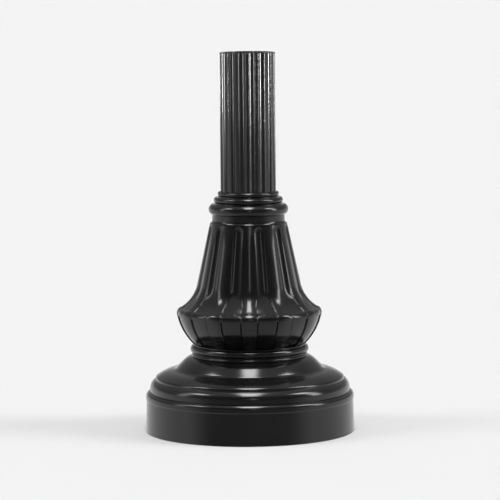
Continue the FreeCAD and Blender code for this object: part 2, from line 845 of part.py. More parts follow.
def cone_shell(name, outer_inset, inner_inset):
    """A ring inside the bell's cone, between two depths behind the cone's inner face."""
    low, high = "door_bottom - frame_land * 1.5", f"{DOOR_TOP} + frame_land * 1.2"
    low_radius = f"({cone_radius(low)} - bell_shell)"
    high_radius = f"({cone_radius(high)} - bell_shell)"
    return turned(
        name,
        [
            (f"{low_radius} - ({outer_inset})", on_bell(f"({low})")),
            (f"{high_radius} - ({outer_inset})", on_bell(f"({high})")),
            (f"{high_radius} - ({inner_inset})", on_bell(f"({high})")),
            (f"{low_radius} - ({inner_inset})", on_bell(f"({low})")),
        ],
    )


def make_door_frame():
    """The frame inside the bell: it laps the door's edges, which a rebate clears for the gasket."""
    ring = cone_shell("FrameRing", "0", "frame_thickness")
    slab = common("FrameSlab", ring, door_plug("FrameEdge", "frame_land"))
    clear = cut("FrameClear", slab, door_plug("FrameWay", "0 - frame_lap"))
    seat_ring = cone_shell("SeatRing", "0 - frame_thickness", "gasket_thickness + door_rest")
    seat = common("GasketSeat", seat_ring, door_plug("SeatEdge", "door_gap"))
    screws = feature_of("FrameTaps", frame_screw_set(size("frame_screw_radius"), 0.0))
    return keep("door_frame", cut("DoorFrame", cut("FrameRebated", clear, seat), screws))


def make_gasket():
    ring = cone_shell("GasketRing", "door_rest", "gasket_thickness + door_rest - gasket_play")
    slab = common("GasketSlab", ring, door_plug("GasketEdge", "0"))
    return keep("door_gasket", cut("Gasket", slab, door_plug("GasketWay", "1 - frame_lap")))


def frame_screw_set(shank_radius, over):
    """The four countersunk screws of the frame, or with some length over, the holes that take them."""
    length = size("frame_screw_length")
    head_radius = size("frame_screw_radius") * 2
    sink = size("frame_screw_sink")
    shank = outward_cylinder(shank_radius, -length, -sink - head_radius / 2)
    cone = Part.makeCone(
        size("frame_screw_radius"),
        head_radius,
        head_radius / 2,
        FreeCAD.Vector(-sink - head_radius / 2, 0, 0),
        FreeCAD.Vector(1, 0, 0),
    )
    screw = shank.fuse(cone)
    if over:
        screw = screw.fuse(outward_cylinder(head_radius, -sink, over))
    places = [
        crest_placement(REAR + side * size("frame_screw_spread"), size(height))
        for side in (-1, 1)
        for height in ("door_bottom + frame_screw_low_rise", f"{DOOR_TOP} - frame_screw_high_drop")
    ]
    return Part.makeCompound([moved(screw, place) for place in places])


# Hinge, on the rib at the door's +X side


def hinge_places():
    rib = REAR - 360.0 / size("rib_count")
    heights = ("door_bottom + hinge_low_rise", f"{DOOR_TOP} - hinge_high_drop")
    return [crest_placement(rib, size(height)) for height in heights]


def knuckles(foot, root, reach):
    """Two hinge knuckles that start at a height on the hinge's axis, each with a web that roots it."""
    radius = size("hinge_barrel_radius")
    length = size("hinge_barrel_length - hinge_axial_gap / 2")
    stand_off = size("hinge_stand_off")
    barrel = Part.makeCylinder(radius, length, FreeCAD.Vector(stand_off, 0, foot))
    depth = size("web_root")
    base = FreeCAD.Vector(-depth, root, foot)
    web = Part.makeBox(depth + stand_off + radius / 2, reach - root, length, base)
    shape = barrel.fuse(web)
    return Part.makeCompound([moved(shape, place) for place in hinge_places()])


def door_knuckles():
    return knuckles(size("hinge_axial_gap / 2"), 1.0, size("hinge_web"))


def bell_knuckles():
    return knuckles(size("0 - hinge_barrel_length"), -size("hinge_web"), -size("door_gap") * 2)


def hinge_rods(radius):
    """Two rods on the hinge's axis, as long as a pair of knuckles."""
    length = size("hinge_barrel_length") * 2
    base = FreeCAD.Vector(size("hinge_stand_off"), 0, -length / 2)
    rod = Part.makeCylinder(radius, length, base)
    return Part.makeCompound([moved(rod, place) for place in hinge_places()])


# Lock, in the flute beside the door's free edge


def lock_place():
    return crest_placement(REAR + 180.0 / size("rib_count"), size("door_bottom + lock_rise"))


def make_lock_sleeve():
    outer = size("lock_barrel_radius + lock_sleeve_wall")
    seat = size("lock_face")
    face = size("lock_face + lock_sleeve_flange")
    tube = outward_cylinder(outer, -size("lock_sleeve_length"), seat)
    flange = outward_cylinder(outer + size("lock_sleeve_flange_reach"), seat, face)
    bore_radius = size("lock_barrel_radius + lock_running_gap")
    bore = outward_cylinder(bore_radius, -size("lock_sleeve_length"), face)
    return keep("lock_sleeve", feature_of("LockSleeve", moved(tube.fuse(flange).cut(bore), lock_place())))


def make_lock_barrel():
    foot = size("lock_face + lock_sleeve_flange + lock_head_gap")
    top = foot + size("lock_head_thickness")
    shank = outward_cylinder(size("lock_barrel_radius"), -size("lock_depth"), foot)
    head = outward_cylinder(size("lock_head_radius"), foot, top)
    key_depth = size("lock_key_depth")
    recess = triangle_prism(size("lock_key_radius"), key_depth * 2)
    recess = placed(recess, FreeCAD.Vector(top - key_depth, 0, 0), FreeCAD.Vector(1, 0, 0))
    tap = outward_cylinder(size("cam_screw_radius"), -size("lock_depth"), -size("lock_depth - cam_screw_reach"))
    barrel = shank.fuse(head).cut(recess).cut(tap)
    return keep("lock_barrel", feature_of("LockBarrel", moved(barrel, lock_place())))


def make_lock_cam():
    """The cam hangs down while the door is unlocked."""
    front = -size("lock_depth")
    back = front - size("cam_thickness")
    half = size("cam_half_width")
    length = size("cam_length")
    hub = outward_cylinder(half * 1.4, back, front)
    base = FreeCAD.Vector(back, -half, half - length)
    arm = Part.makeBox(size("cam_thickness"), half * 2, length - half, base)
    tip = outward_cylinder(half, back, front)
    tip.translate(FreeCAD.Vector(0, 0, half - length))
    hole = outward_cylinder(size("cam_screw_radius"), back, front)
    cam = hub.fuse(arm).fuse(tip).cut(hole)
    return keep("lock_cam", feature_of("LockCam", moved(cam, lock_place())))


def make_cam_screw():
    back = -size("lock_depth + cam_thickness")
    radius = size("cam_screw_radius")
    shank = outward_cylinder(radius, back, -size("lock_depth - cam_screw_reach"))
    head = outward_cylinder(radius * 2, back - radius, back)
    return keep("lock_cam_screw", feature_of("CamScrew", moved(shank.fuse(head), lock_place())))


def make_access_door(fluted_bell):
    """The door is cut out of the fluted bell itself, so ribs and flutes run on across it."""
    panel = common("DoorPanel", fluted_bell, door_plug("DoorEdge", "0"))
    face = size("lock_face")
    boss = outward_cylinder(size("lock_boss_radius"), face - size("bell_shell"), face)
    boss = moved(boss, lock_place())
    fittings = feature_of("DoorFittings", Part.makeCompound([boss] + door_knuckles().Solids))
    sleeve_radius = size("lock_barrel_radius + lock_sleeve_wall")
    lock_hole = outward_cylinder(sleeve_radius, -size("bell_shell") * 1.5, face)
    rods = hinge_rods(size("hinge_pin_radius + hinge_running_gap"))
    holes = feature_of("DoorHoles", Part.makeCompound([moved(lock_hole, lock_place())] + rods.Solids))
    return keep("access_door", cut("AccessDoor", fused("DoorFitted", [panel, fittings]), holes))


def stack_bolt_holes():
    base = FreeCAD.Vector(size("stack_bolt_circle"), 0, size(BELL_BASE) - 1)
    hole = Part.makeCylinder(size(STACK_HOLE_RADIUS), size("flange_thickness") + 2, base)
    return ring_of(hole, equal_angles(int(size("stack_bolt_count")))).Solids


def earth_axis(start, end, radius):
    """A cylinder on the earth stud's axis, which points from the bell's back wall to the post's axis."""
    face = size("waist_radius - bell_shell - earth_boss_stand")
    base = FreeCAD.Vector(0, face - start, size(on_bell("earth_height")))
    return Part.makeCylinder(radius, end - start, base, FreeCAD.Vector(0, -1, 0))


def make_bell_casting(fluted_bell):
    opened = cut("BellOpened", fluted_bell, door_plug("DoorOpening", "door_gap"))
    boss_depth = size("earth_boss_depth")
    earth_boss = earth_axis(-size("earth_boss_root"), 0, size("earth_boss_radius"))
    fittings = feature_of("BellFittings", Part.makeCompound([earth_boss] + bell_knuckles().Solids))
    holes = [earth_axis(-boss_depth, 0, size("earth_stud_radius"))]
    holes += stack_bolt_holes()
    holes += hinge_rods(size("hinge_pin_radius")).Solids
    holes += frame_screw_set(size("frame_screw_radius"), size("flute_overcut")).Solids
    tools = feature_of("BellHoles", Part.makeCompound(holes))
    return keep("bell_casting", cut("BellCasting", fused("BellFitted", [opened, fittings]), tools))


# Collar, shaft and the parts that hold the shaft to the ground


def make_collar():
    low = f"({SHAFT_CLEARANCE_RADIUS} + collar_wall)"
    middle = f"({low} - collar_mid_step)"
    high = f"({low} - collar_top_step)"
    low_top = f"({COLLAR_BASE} + collar_low_height)"
    middle_foot = f"({low_top} + collar_fillet)"
    middle_top = f"({middle_foot} + collar_mid_height)"
    high_foot = f"({middle_top} + collar_fillet)"
    body = turned(
        "Collar",
        [
            (low, COLLAR_BASE),
            (low, low_top, "collar_low_curve", "right"),
            (f"{middle} + collar_fillet_step", low_top),
            (f"{middle} + collar_fillet_step", middle_foot),
            (middle, middle_foot),
            (middle, middle_top, "collar_mid_curve", "right"),
            (f"{high} + collar_fillet_step", middle_top),
            (f"{high} + collar_fillet_step", high_foot),
            (high, high_foot),
            (high, f"{high_foot} + collar_top_height", "collar_top_curve", "right"),
            (SHAFT_CLEARANCE_RADIUS, f"{high_foot} + collar_top_height"),
            (SHAFT_CLEARANCE_RADIUS, COLLAR_BASE),
        ],
    )
    taps = feature_of("SetScrewTaps", set_screw_ring(size("collar_wall + collar_low_curve")))
    return keep("shaft_collar", cut("ShaftCollar", body, taps))


def set_screw_ring(length):
    """Radial cylinders from the shaft's lands outwards, at the back half of the collar."""
    base = FreeCAD.Vector(size("shaft_radius"), 0, size(f"{COLLAR_BASE} + collar_low_height / 2"))
    screw = Part.makeCylinder(size("set_screw_radius"), length, base, FreeCAD.Vector(1, 0, 0))
    spread = size("set_screw_spread")
    return ring_of(screw, [REAR - spread, REAR, REAR + spread])


def make_set_screws():
    screws = set_screw_ring(size("set_screw_length"))
    outer_end = size("shaft_radius + set_screw_length")
    half_width = size("set_screw_radius") / 2
    socket = hexagon_prism(half_width, half_width * 2, FreeCAD.Vector(0, 0, 0))
    inner_end = FreeCAD.Vector(outer_end - half_width * 2, 0, size(f"{COLLAR_BASE} + collar_low_height / 2"))
    key_hole = placed(socket, inner_end, FreeCAD.Vector(1, 0, 0))
    spread = size("set_screw_spread")
    key_holes = ring_of(key_hole, [REAR - spread, REAR, REAR + spread])
    return keep("collar_set_screws", feature_of("SetScrews", screws.cut(key_holes)))


def rise(sketch, height):
    """Lifts a sketch that lies on the ground plane."""
    sketch.setExpression("AttachmentOffset.Base.z", in_cells(height))
    return sketch


def pocket_down(body, name, sketch, depth):
    pocket = body.newObject("PartDesign::Pocket", name)
    pocket.Profile = sketch
    pocket.setExpression("Length", in_cells(depth))
    return pocket


def hand_hole_outline(body, name, inset):
    """The hand hole seen from behind, or the same outline drawn in by an inset."""
    half = f"(hand_hole_width / 2 - {inset})"
    low = f"({on_bell('door_bottom')} + {inset})"
    high = f"({on_bell(HAND_HOLE_TOP)} - {inset})"
    corner = f"(hand_hole_corner - {inset})"
    return outline(
        body,
        name,
        "XZ_Plane",
        [
            (f"{half} - {corner}", low),
            (half, f"{low} + {corner}", corner, "right"),
            (half, f"{high} - {corner}"),
            (f"{half} - {corner}", high, corner, "right"),
            (f"{corner} - {half}", high),
            (f"0 - {half}", f"{high} - {corner}", corner, "right"),
            (f"0 - {half}", f"{low} + {corner}"),
            (f"{corner} - {half}", low, corner, "right"),
        ],
    )


def make_shaft():
    """A fluted tube with a spigot seat in its top and a hand hole behind the access door."""
    body = new_body("Shaft")
    disc = rise(circle_sketch(body, "ShaftDisc", "XY_Plane", "0", "0", "shaft_radius"), "plate_thickness")
    pad(body, "ShaftPad", disc, "shaft_top - plate_thickness")
    bore = circle_sketch(body, "ShaftBore", "XY_Plane", "0", "0", "shaft_bore_radius")
    pocket_through(body, "ShaftBorePocket", bore)
    groove_centre = "shaft_radius - shaft_flute_depth + shaft_flute_curve"
    hole_ring(body, "ShaftFlutes", groove_centre, "0", "shaft_flute_curve", "shaft_flute_count")
    seat = rise(circle_sketch(body, "SpigotSeat", "XY_Plane", "0", "0", "spigot_radius"), "shaft_top")
    pocket_down(body, "SpigotSeatPocket", seat, "spigot_depth")
    hole = hand_hole_outline(body, "HandHole", "0")
    pocket_down(body, "HandHolePocket", hole, "shaft_radius * 1.5")
    taps = feature_of("RailTaps", rail_screw_set(0.0))
    return keep("fluted_shaft", cut("FlutedShaft", body, taps))


def make_edging():
    """Rubber edging that laps both faces of the hand hole's edge."""
    block = new_body("EdgingBlock")
    outside = hand_hole_outline(block, "EdgingOuter", "0")
    pad(block, "EdgingPad", outside, "shaft_radius * 1.5", backwards=True)
    inside = hand_hole_outline(block, "EdgingInner", "edging_lip")
    pocket_down(block, "EdgingPocket", inside, "shaft_radius * 2")
    low, high = on_bell("door_bottom - edging_lip"), on_bell(f"{HAND_HOLE_TOP} + edging_lip")
    band = turned(
        "EdgingBand",
        [
            ("shaft_bore_radius - edging_lip", low),
            ("shaft_radius + edging_lip", low),
            ("shaft_radius + edging_lip", high),
            ("shaft_bore_radius - edging_lip", high),
        ],
    )
    return keep("hand_hole_edging", common("HandHoleEdging", block, band))


def make_anchor_plate():
    body = new_body("AnchorPlate")
    half = "(plate_side / 2)"
    flat = f"({half} - plate_corner)"
    sketch = outline(
        body,
        "PlateOutline",
        "XY_Plane",
        [
            (flat, f"0 - {half}"),
            (half, f"0 - {flat}", "plate_corner", "right"),
            (half, flat),
            (flat, half, "plate_corner", "right"),
            (f"0 - {flat}", half),
            (f"0 - {half}", flat, "plate_corner", "right"),
            (f"0 - {half}", f"0 - {flat}"),
            (f"0 - {flat}", f"0 - {half}", "plate_corner", "right"),
        ],
    )
    pad(body, "PlatePad", sketch, "plate_thickness")
    way = circle_sketch(body, "CableWay", "XY_Plane", "0", "0", "bush_radius + bush_wall")
    pocket_through(body, "CableWayPocket", way)
    corner = "anchor_circle_radius * cos(45)"
    hole_ring(body, "AnchorHoles", corner, corner, "anchor_hole_radius", "anchor_hole_count")
    return keep("anchor_plate", body)


def make_socket():
    bore = SHAFT_CLEARANCE_RADIUS
    wall = f"({bore} + socket_wall)"
    top = "plate_thickness + socket_height"
    body = turned("Socket", [(bore, "plate_thickness"), (wall, "plate_thickness"), (wall, top), (bore, top)])
    base = FreeCAD.Vector(0, 0, size("clamp_height"))
    reach = size(f"{wall} + slip")
    tap = Part.makeCylinder(size("clamp_screw_radius"), reach, base, FreeCAD.Vector(1, 0, 0))
    taps = feature_of("ClampTaps", ring_of(tap, clamp_angles()))
    return keep("shaft_socket", cut("ShaftSocket", body, taps))


def clamp_angles():
    count = int(size("clamp_count"))
    return equal_angles(count, 180.0 / count)


def make_gussets():
    body = new_body("Gusset")
    foot = f"({SHAFT_CLEARANCE_RADIUS} + socket_wall)"
    tip = f"({foot} + gusset_reach)"
    sketch = outline(
        body,
        "GussetOutline",
        "XZ_Plane",
        [
            (foot, "plate_thickness"),
            (tip, "plate_thickness"),
            (tip, "plate_thickness + gusset_nose"),
            (f"{foot} + gusset_nose", "plate_thickness + gusset_height"),
            (foot, "plate_thickness + gusset_height"),
        ],
    )
    web = pad(body, "GussetPad", sketch, "gusset_thickness")
    web.Midplane = True
    doc.recompute()
    return keep("socket_gussets", feature_of("Gussets", ring_of(body.Shape, equal_angles(4))))


def make_bush():
    outer = "(bush_radius + bush_wall)"
    flange = f"({outer} + bush_flange)"
    body = turned(
        "CableBush",
        [
            ("bush_radius", "0"),
            (outer, "0"),
            (outer, "plate_thickness"),
            (flange, "plate_thickness"),
            (flange, "plate_thickness + bush_flange_thickness"),
            ("bush_radius", "plate_thickness + bush_flange_thickness"),
        ],
    )
    return keep("cable_entry_bush", body)


# Fasteners


def make_clamp_screws():
    wall = size(f"{SHAFT_CLEARANCE_RADIUS} + socket_wall")
    nut_height = size("clamp_nut_height")
    seat = wall + nut_height + size("clamp_screw_play")
    screw = hex_screw(
        size("clamp_screw_radius"),
        seat - size("shaft_radius"),
        size("clamp_screw_head"),
        size("clamp_screw_head_height"),
    )
    out = FreeCAD.Vector(1, 0, 0)
    height = size("clamp_height")
    screws = ring_of(placed(screw, FreeCAD.Vector(seat, 0, height), out), clamp_angles())
    nut = hexagon_prism(size("clamp_screw_head"), nut_height, FreeCAD.Vector(0, 0, 0))
    nut = placed(nut, FreeCAD.Vector(wall, 0, height), out)
    bore = Part.makeCylinder(size("clamp_screw_radius"), seat, FreeCAD.Vector(0, 0, height), out)
    nuts = ring_of(nut.cut(bore), clamp_angles())
    keep("socket_clamp_screws", feature_of("ClampScrews", screws))
    keep("socket_lock_nuts", feature_of("ClampNuts", nuts))


def make_skirt_bolts():
    length = size("ledge_thickness + ledge_tap_depth - hole_play")
    bolt = hex_screw(
        size("small_bolt_radius"), length, size("small_bolt_head"), size("small_bolt_head_height")
    )
    seat = FreeCAD.Vector(size(LEDGE_BOLT_CIRCLE), 0, size("skirt_height - ledge_thickness"))
    bolt = placed(bolt, seat, FreeCAD.Vector(0, 0, -1))
    bolts = ring_of(bolt, equal_angles(int(size("ledge_bolt_count"))))
    return keep("skirt_bolts", feature_of("SkirtBolts", bolts))


def make_stack_fasteners():
    """The bolts that hold dome, neck ring and bell together, with their washers and nuts."""
    circle = size("stack_bolt_circle")
    radius = size("large_bolt_radius")
    head_seat = size(f"{NECK_BASE} - flange_thickness")
    washer_seat = size(f"{BELL_BASE} + flange_thickness")
    washer_thickness = size("large_washer_thickness")
    nut_seat = washer_seat + washer_thickness
    end = nut_seat + size("large_nut_height") + radius / 2
    bolt = hex_screw(radius, end - head_seat, size("large_bolt_head"), size("large_bolt_head_height"))
    bolt = placed(bolt, FreeCAD.Vector(circle, 0, head_seat), FreeCAD.Vector(0, 0, -1))
    hole = Part.makeCylinder(radius, end, FreeCAD.Vector(circle, 0, 0))
    washer_base = FreeCAD.Vector(circle, 0, washer_seat)
    washer = Part.makeCylinder(size("large_washer_radius"), washer_thickness, washer_base)
    nut_base = FreeCAD.Vector(circle, 0, nut_seat)
    nut = hexagon_prism(size("large_bolt_head"), size("large_nut_height"), nut_base)
    angles = equal_angles(int(size("stack_bolt_count")))
    keep("stack_bolts", feature_of("StackBolts", ring_of(bolt, angles)))
    keep("stack_washers", feature_of("StackWashers", ring_of(washer.cut(hole), angles)))
    keep("stack_nuts", feature_of("StackNuts", ring_of(nut.cut(hole), angles)))


def make_earth_fittings():
    radius = size("earth_stud_radius")
    nut_height = size("earth_nut_height")
    washer_thickness = size("earth_washer_thickness")
    stud = earth_axis(-size("earth_boss_depth"), size("earth_stud_length - earth_boss_depth"), radius)
    face = size("waist_radius - bell_shell - earth_boss_stand")
    level = size(on_bell("earth_height"))
    nut = hexagon_prism(size("small_bolt_head"), nut_height, FreeCAD.Vector(0, 0, 0))
    inwards = FreeCAD.Vector(0, -1, 0)
    starts = (0.0, nut_height + washer_thickness)
    nuts = [placed(nut, FreeCAD.Vector(0, face - start, level), inwards).cut(stud) for start in starts]
    washer = earth_axis(nut_height, nut_height + washer_thickness, radius * 2).cut(stud)
    keep("earth_stud", feature_of("EarthStud", stud))
    keep("earth_nuts", feature_of("EarthNuts", Part.makeCompound(nuts)))
    keep("earth_washer", feature_of("EarthWasher", washer))


# Wiring fittings inside the shaft, behind its hand hole


def rail_back():
    return -math.sqrt(size("shaft_bore_radius") ** 2 - (size("rail_web") / 2) ** 2)


def make_rail():
    """A top-hat rail: its web stands against the front wall of the bore, its lips carry the blocks."""
    back = rail_back()
    sheet_metal = size("rail_sheet")
    front = back + size("rail_depth")
    web, lip = size("rail_web") / 2, size("rail_width") / 2
    half = [(lip, front), (lip, front - sheet_metal), (web, front - sheet_metal), (web, back)]
    inner = [(web - sheet_metal, back + sheet_metal), (web - sheet_metal, front)]
    right = half + [(-x, y) for x, y in reversed(half)]
    corners = right + [(-x, y) for x, y in reversed(inner)] + inner
    level = size(on_bell(RAIL_BOTTOM))
    wire = Part.makePolygon([FreeCAD.Vector(x, y, level) for x, y in corners + corners[:1]])
    rail = Part.Face(wire).extrude(FreeCAD.Vector(0, 0, size("rail_length")))
    return keep("terminal_rail", feature_of("TerminalRail", rail.cut(rail_screw_set(0.0))))


def rail_screw_set(head_height):
    """Two screws through the rail's web into the shaft's wall."""
    radius = size("rail_screw_radius")
    seat = rail_back() + size("rail_sheet")
    end = -size("shaft_radius") + size("rail_screw_radius")
    level = size(on_bell(RAIL_BOTTOM))
    screws = []
    for height in (size("rail_screw_inset"), size("rail_length - rail_screw_inset")):
        base = FreeCAD.Vector(0, end, level + height)
        screw = Part.makeCylinder(radius, seat - end, base, FreeCAD.Vector(0, 1, 0))
        if head_height:
            head = FreeCAD.Vector(0, seat, level + height)
            screw = screw.fuse(Part.makeCylinder(radius * 2, head_height, head, FreeCAD.Vector(0, 1, 0)))
        screws.append(screw)
    return Part.makeCompound(screws)


def rail_block(height_above_rail, height):
    """A block that hooks on the rail: its body in front of the lips and a foot between them."""
    front = rail_back() + size("rail_depth")
    half = size("terminal_width") / 2
    level = size(on_bell(RAIL_BOTTOM)) + height_above_rail
    body = Part.makeBox(half * 2, size("terminal_depth"), height, FreeCAD.Vector(-half, front, level))
    foot_half = size("rail_web / 2 - rail_sheet") - 1
    foot_depth = size("rail_depth - rail_sheet - rail_screw_radius")
    corner = FreeCAD.Vector(-foot_half, front - foot_depth, level)
    foot = Part.makeBox(foot_half * 2, foot_depth, height, corner)
    return body.fuse(foot)


def block_front():
    return rail_back() + size("rail_depth + terminal_depth")


def terminal_wells(radius, depth, clearance):
    """Cylinders that go into the terminal block's front face, two for each way."""
    side = size("terminal_width") / 4
    level = size(on_bell(f"{RAIL_BOTTOM} + terminal_rise"))
    wells = []
    for way in range(int(size("terminal_count"))):
        height = level + (way + 0.5) * size("terminal_pitch")
        for across in (-side, side):
            base = FreeCAD.Vector(across, block_front() - clearance, height)
            wells.append(Part.makeCylinder(radius, depth, base, FreeCAD.Vector(0, -1, 0)))
    return wells


def make_terminal_block():
    """A block with a clamp screw at both ends of each way and an entry for the wires across it."""
    height = size("terminal_pitch * terminal_count")
    block = rail_block(size("terminal_rise"), height)
    radius = size("terminal_screw_radius")
    wells = Part.makeCompound(terminal_wells(radius, radius * 3, 0.0))
    level = size(on_bell(f"{RAIL_BOTTOM} + terminal_rise"))
    side = -size("terminal_width")
    middle = block_front() - size("terminal_depth") / 2
    entries = []
    for way in range(int(size("terminal_count"))):
        start = FreeCAD.Vector(side, middle, level + (way + 0.5) * size("terminal_pitch"))
        entries.append(Part.makeCylinder(radius, -side * 2, start, FreeCAD.Vector(1, 0, 0)))
    block = block.cut(wells).cut(Part.makeCompound(entries))
    keep("terminal_block", feature_of("TerminalBlock", block))
    slot = radius * 0.4
    screws = []
    for well in terminal_wells(radius, radius * 1.4, radius):
        box = well.BoundBox
        corner = FreeCAD.Vector(box.XMin - radius / 2, box.YMax - slot, box.Center.z - slot / 2)
        notch = Part.makeBox(radius * 3, slot, slot, corner)
        screws.append(well.cut(notch))
    keep("terminal_screws", feature_of("TerminalScrews", Part.makeCompound(screws)))


def carrier_box(grow, front):
    """The fuse carrier's block, or with some growth the slot that it slides in."""
    width = size("carrier_width") + 2 * grow
    height = size("carrier_height") + 2 * grow
    back = block_front() - size("carrier_depth") - grow
    middle = size(on_bell(f"{RAIL_BOTTOM} + fuse_rise")) + size("fuse_base_height") / 2
    return Part.makeBox(width, front - back, height, FreeCAD.Vector(-width / 2, back, middle - height / 2))


def make_fuse():
    """Fuse base on the rail, with the carrier that pulls out of it and the fuse link in the carrier."""
    base = rail_block(size("fuse_rise"), size("fuse_base_height"))
    base = base.cut(carrier_box(size("carrier_gap"), block_front() + 1))
    keep("fuse_base", feature_of("FuseBase", base))
    block = carrier_box(0.0, block_front() + size("carrier_grip"))
    radius, length = size("fuse_radius"), size("fuse_length")
    box = block.BoundBox
    start = FreeCAD.Vector(-length / 2, box.YMin + radius * 1.5, box.Center.z)
    link = Part.makeCylinder(radius, length, start, FreeCAD.Vector(1, 0, 0))
    window = Part.makeBox(length, radius * 1.5, radius, start - FreeCAD.Vector(0, radius * 1.5, radius / 2))
    keep("fuse_carrier", feature_of("FuseCarrier", block.cut(link).cut(window)))
    keep("fuse_link", feature_of("FuseLink", link))


def make_everything():
    make_skirt()
    make_dome()
    make_neck_ring()
    fluted_bell = make_fluted_bell()
    make_bell_casting(fluted_bell)
    make_access_door(fluted_bell)
    make_door_frame()
    make_gasket()
    keep("frame_screws", feature_of("FrameScrews", frame_screw_set(size("frame_screw_radius"), 0.0)))
    keep("hinge_pins", feature_of("HingePins", hinge_rods(size("hinge_pin_radius"))))
    make_lock_sleeve()
    make_lock_barrel()
    make_lock_cam()
    make_cam_screw()
    make_collar()
    make_set_screws()
    make_shaft()
    make_edging()
    make_anchor_plate()
    make_socket()
    make_gussets()
    make_bush()
    make_clamp_screws()
    make_skirt_bolts()
    make_stack_fasteners()
    make_earth_fittings()
    make_rail()
    screws = rail_screw_set(size("rail_screw_radius"))
    keep("rail_screws", feature_of("RailScrews", screws))
    make_terminal_block()
    make_fuse()


def check_and_export():
    doc.recompute()
    for item in doc.Objects:
        if "Invalid" in item.State or "Error" in item.State:
            raise RuntimeError(f"{item.Name} has the state {item.State}")
    os.makedirs("parts", exist_ok=True)
    for node, item in sub_parts.items():
        if item.Shape.isNull() or not item.Shape.isValid():
            raise RuntimeError(f"{node} has no valid shape")
        item.Shape.exportStep(f"parts/{node}.step")


fill_sheet()
make_everything()
check_and_export()
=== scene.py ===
import json
import math

import bmesh
import bpy
from mathutils import Matrix, Vector


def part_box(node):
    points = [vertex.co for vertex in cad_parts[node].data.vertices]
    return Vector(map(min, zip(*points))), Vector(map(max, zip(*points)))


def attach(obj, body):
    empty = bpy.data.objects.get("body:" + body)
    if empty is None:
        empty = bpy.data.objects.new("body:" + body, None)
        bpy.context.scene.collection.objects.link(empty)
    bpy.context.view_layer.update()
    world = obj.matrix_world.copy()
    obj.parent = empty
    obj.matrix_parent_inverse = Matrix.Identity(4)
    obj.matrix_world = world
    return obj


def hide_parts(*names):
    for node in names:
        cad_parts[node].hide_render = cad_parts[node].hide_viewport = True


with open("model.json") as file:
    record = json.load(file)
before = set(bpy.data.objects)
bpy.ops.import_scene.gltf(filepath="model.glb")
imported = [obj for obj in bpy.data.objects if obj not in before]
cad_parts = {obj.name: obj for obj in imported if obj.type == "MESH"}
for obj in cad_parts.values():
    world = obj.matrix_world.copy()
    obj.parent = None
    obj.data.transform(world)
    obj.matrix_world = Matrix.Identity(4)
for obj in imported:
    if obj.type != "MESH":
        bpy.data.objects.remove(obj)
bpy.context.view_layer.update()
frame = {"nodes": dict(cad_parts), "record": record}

MM = 0.001

# The lamp post's visual model: skins over the castings and the shaft, round the small parts that the
# frame brings along, in a plain studio


def top_of(node):
    """Height of a CAD node's top above the ground, in millimetres."""
    return round(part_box(node)[1][2] / MM, 3)


# Heights above the ground, from the frame, and radii. All lengths before the studio are in millimetres
PLATE_TOP = top_of("anchor_plate")
SKIRT_HEIGHT = top_of("plinth_skirt")
NECK_BASE = top_of("pedestal_dome")
BELL_BASE = top_of("neck_ring")
COLLAR_BASE = top_of("bell_casting")
SHAFT_TOP = top_of("fluted_shaft")
SKIRT_RADIUS = round(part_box("plinth_skirt")[1][0] / MM, 3)
DOME_RADIUS = 205.4
CASTING_BORE = 84.0
SHAFT_RADIUS = 57.0
SHAFT_BORE = 49.0
SHAFT_CLEARANCE = 57.4


# Outlines: points are (radius, height), or (radius, height, curve, side) where an arc leads to the point

# Corners that turn by more degrees than this are rounded, in steps of about so many degrees
SHARP_TURN = 25.0
ROUNDING_STEP = 15.0
# The most of a neighbouring stretch that a rounding takes up
ROUNDING_SHARE = 0.45


def arc_points(start, end, curve, side, step):
    """Points of an arc after its start, bulging to the left or right of the way to its end."""
    chord = end - start
    half = chord.length / 2
    left = Vector((-chord.y, chord.x)).normalized()
    towards = -1.0 if side == "left" else 1.0
    centre = (start + end) / 2 + left * towards * math.sqrt(max(curve**2 - half**2, 0.0))
    first = math.atan2(start.y - centre.y, start.x - centre.x)
    turn = 2 * math.asin(min(half / curve, 1.0)) * towards
    count = max(2, math.ceil(abs(turn) * curve / step))
    angles = [first + turn * index / count for index in range(1, count)]
    return [centre + Vector((math.cos(a), math.sin(a))) * curve for a in angles] + [end]


def path(points, step):
    """The polyline through an outline's points."""
    line = [Vector(points[0][:2])]
    for target in points[1:]:
        end = Vector(target[:2])
        if len(target) == 2:
            line.append(end)
        else:
            line.extend(arc_points(line[-1], end, target[2], target[3], step))
    return line


def rounded(line, radius):
    """The closed polyline with its sharp corners rounded, as casting and paint leave them."""
    result = []
    count = len(line)
    for index, corner in enumerate(line):
        before = line[index - 1] - corner
        after = line[(index + 1) % count] - corner
        if before.length < 1e-6 or after.length < 1e-6:
            continue
        turn = math.pi - before.angle(after)
        if turn < math.radians(SHARP_TURN):
            result.append(corner)
            continue
        longest = ROUNDING_SHARE * min(before.length, after.length)
        reach = min(radius * math.tan(turn / 2), longest)
        start = corner + before.normalized() * reach
        end = corner + after.normalized() * reach
        steps = max(3, round(math.degrees(turn) / ROUNDING_STEP))
        for number in range(steps + 1):
            t = number / steps
            result.append(start * (1 - t) ** 2 + corner * 2 * t * (1 - t) + end * t**2)
    return result


# Meshes

# Edges that turn by more degrees than this stay sharp: on plain pieces, and on fluted or joined ones
PLAIN_SHARPNESS = 35.0
FLUTED_SHARPNESS = 40.0
# Segments round a bar, the steps and rounding of its rims, and the steps of a corner's quarter circle
BAR_SEGMENTS = 48
RIM_STEPS = 5
RIM_EDGE = 0.5
CORNER_STEPS = 10


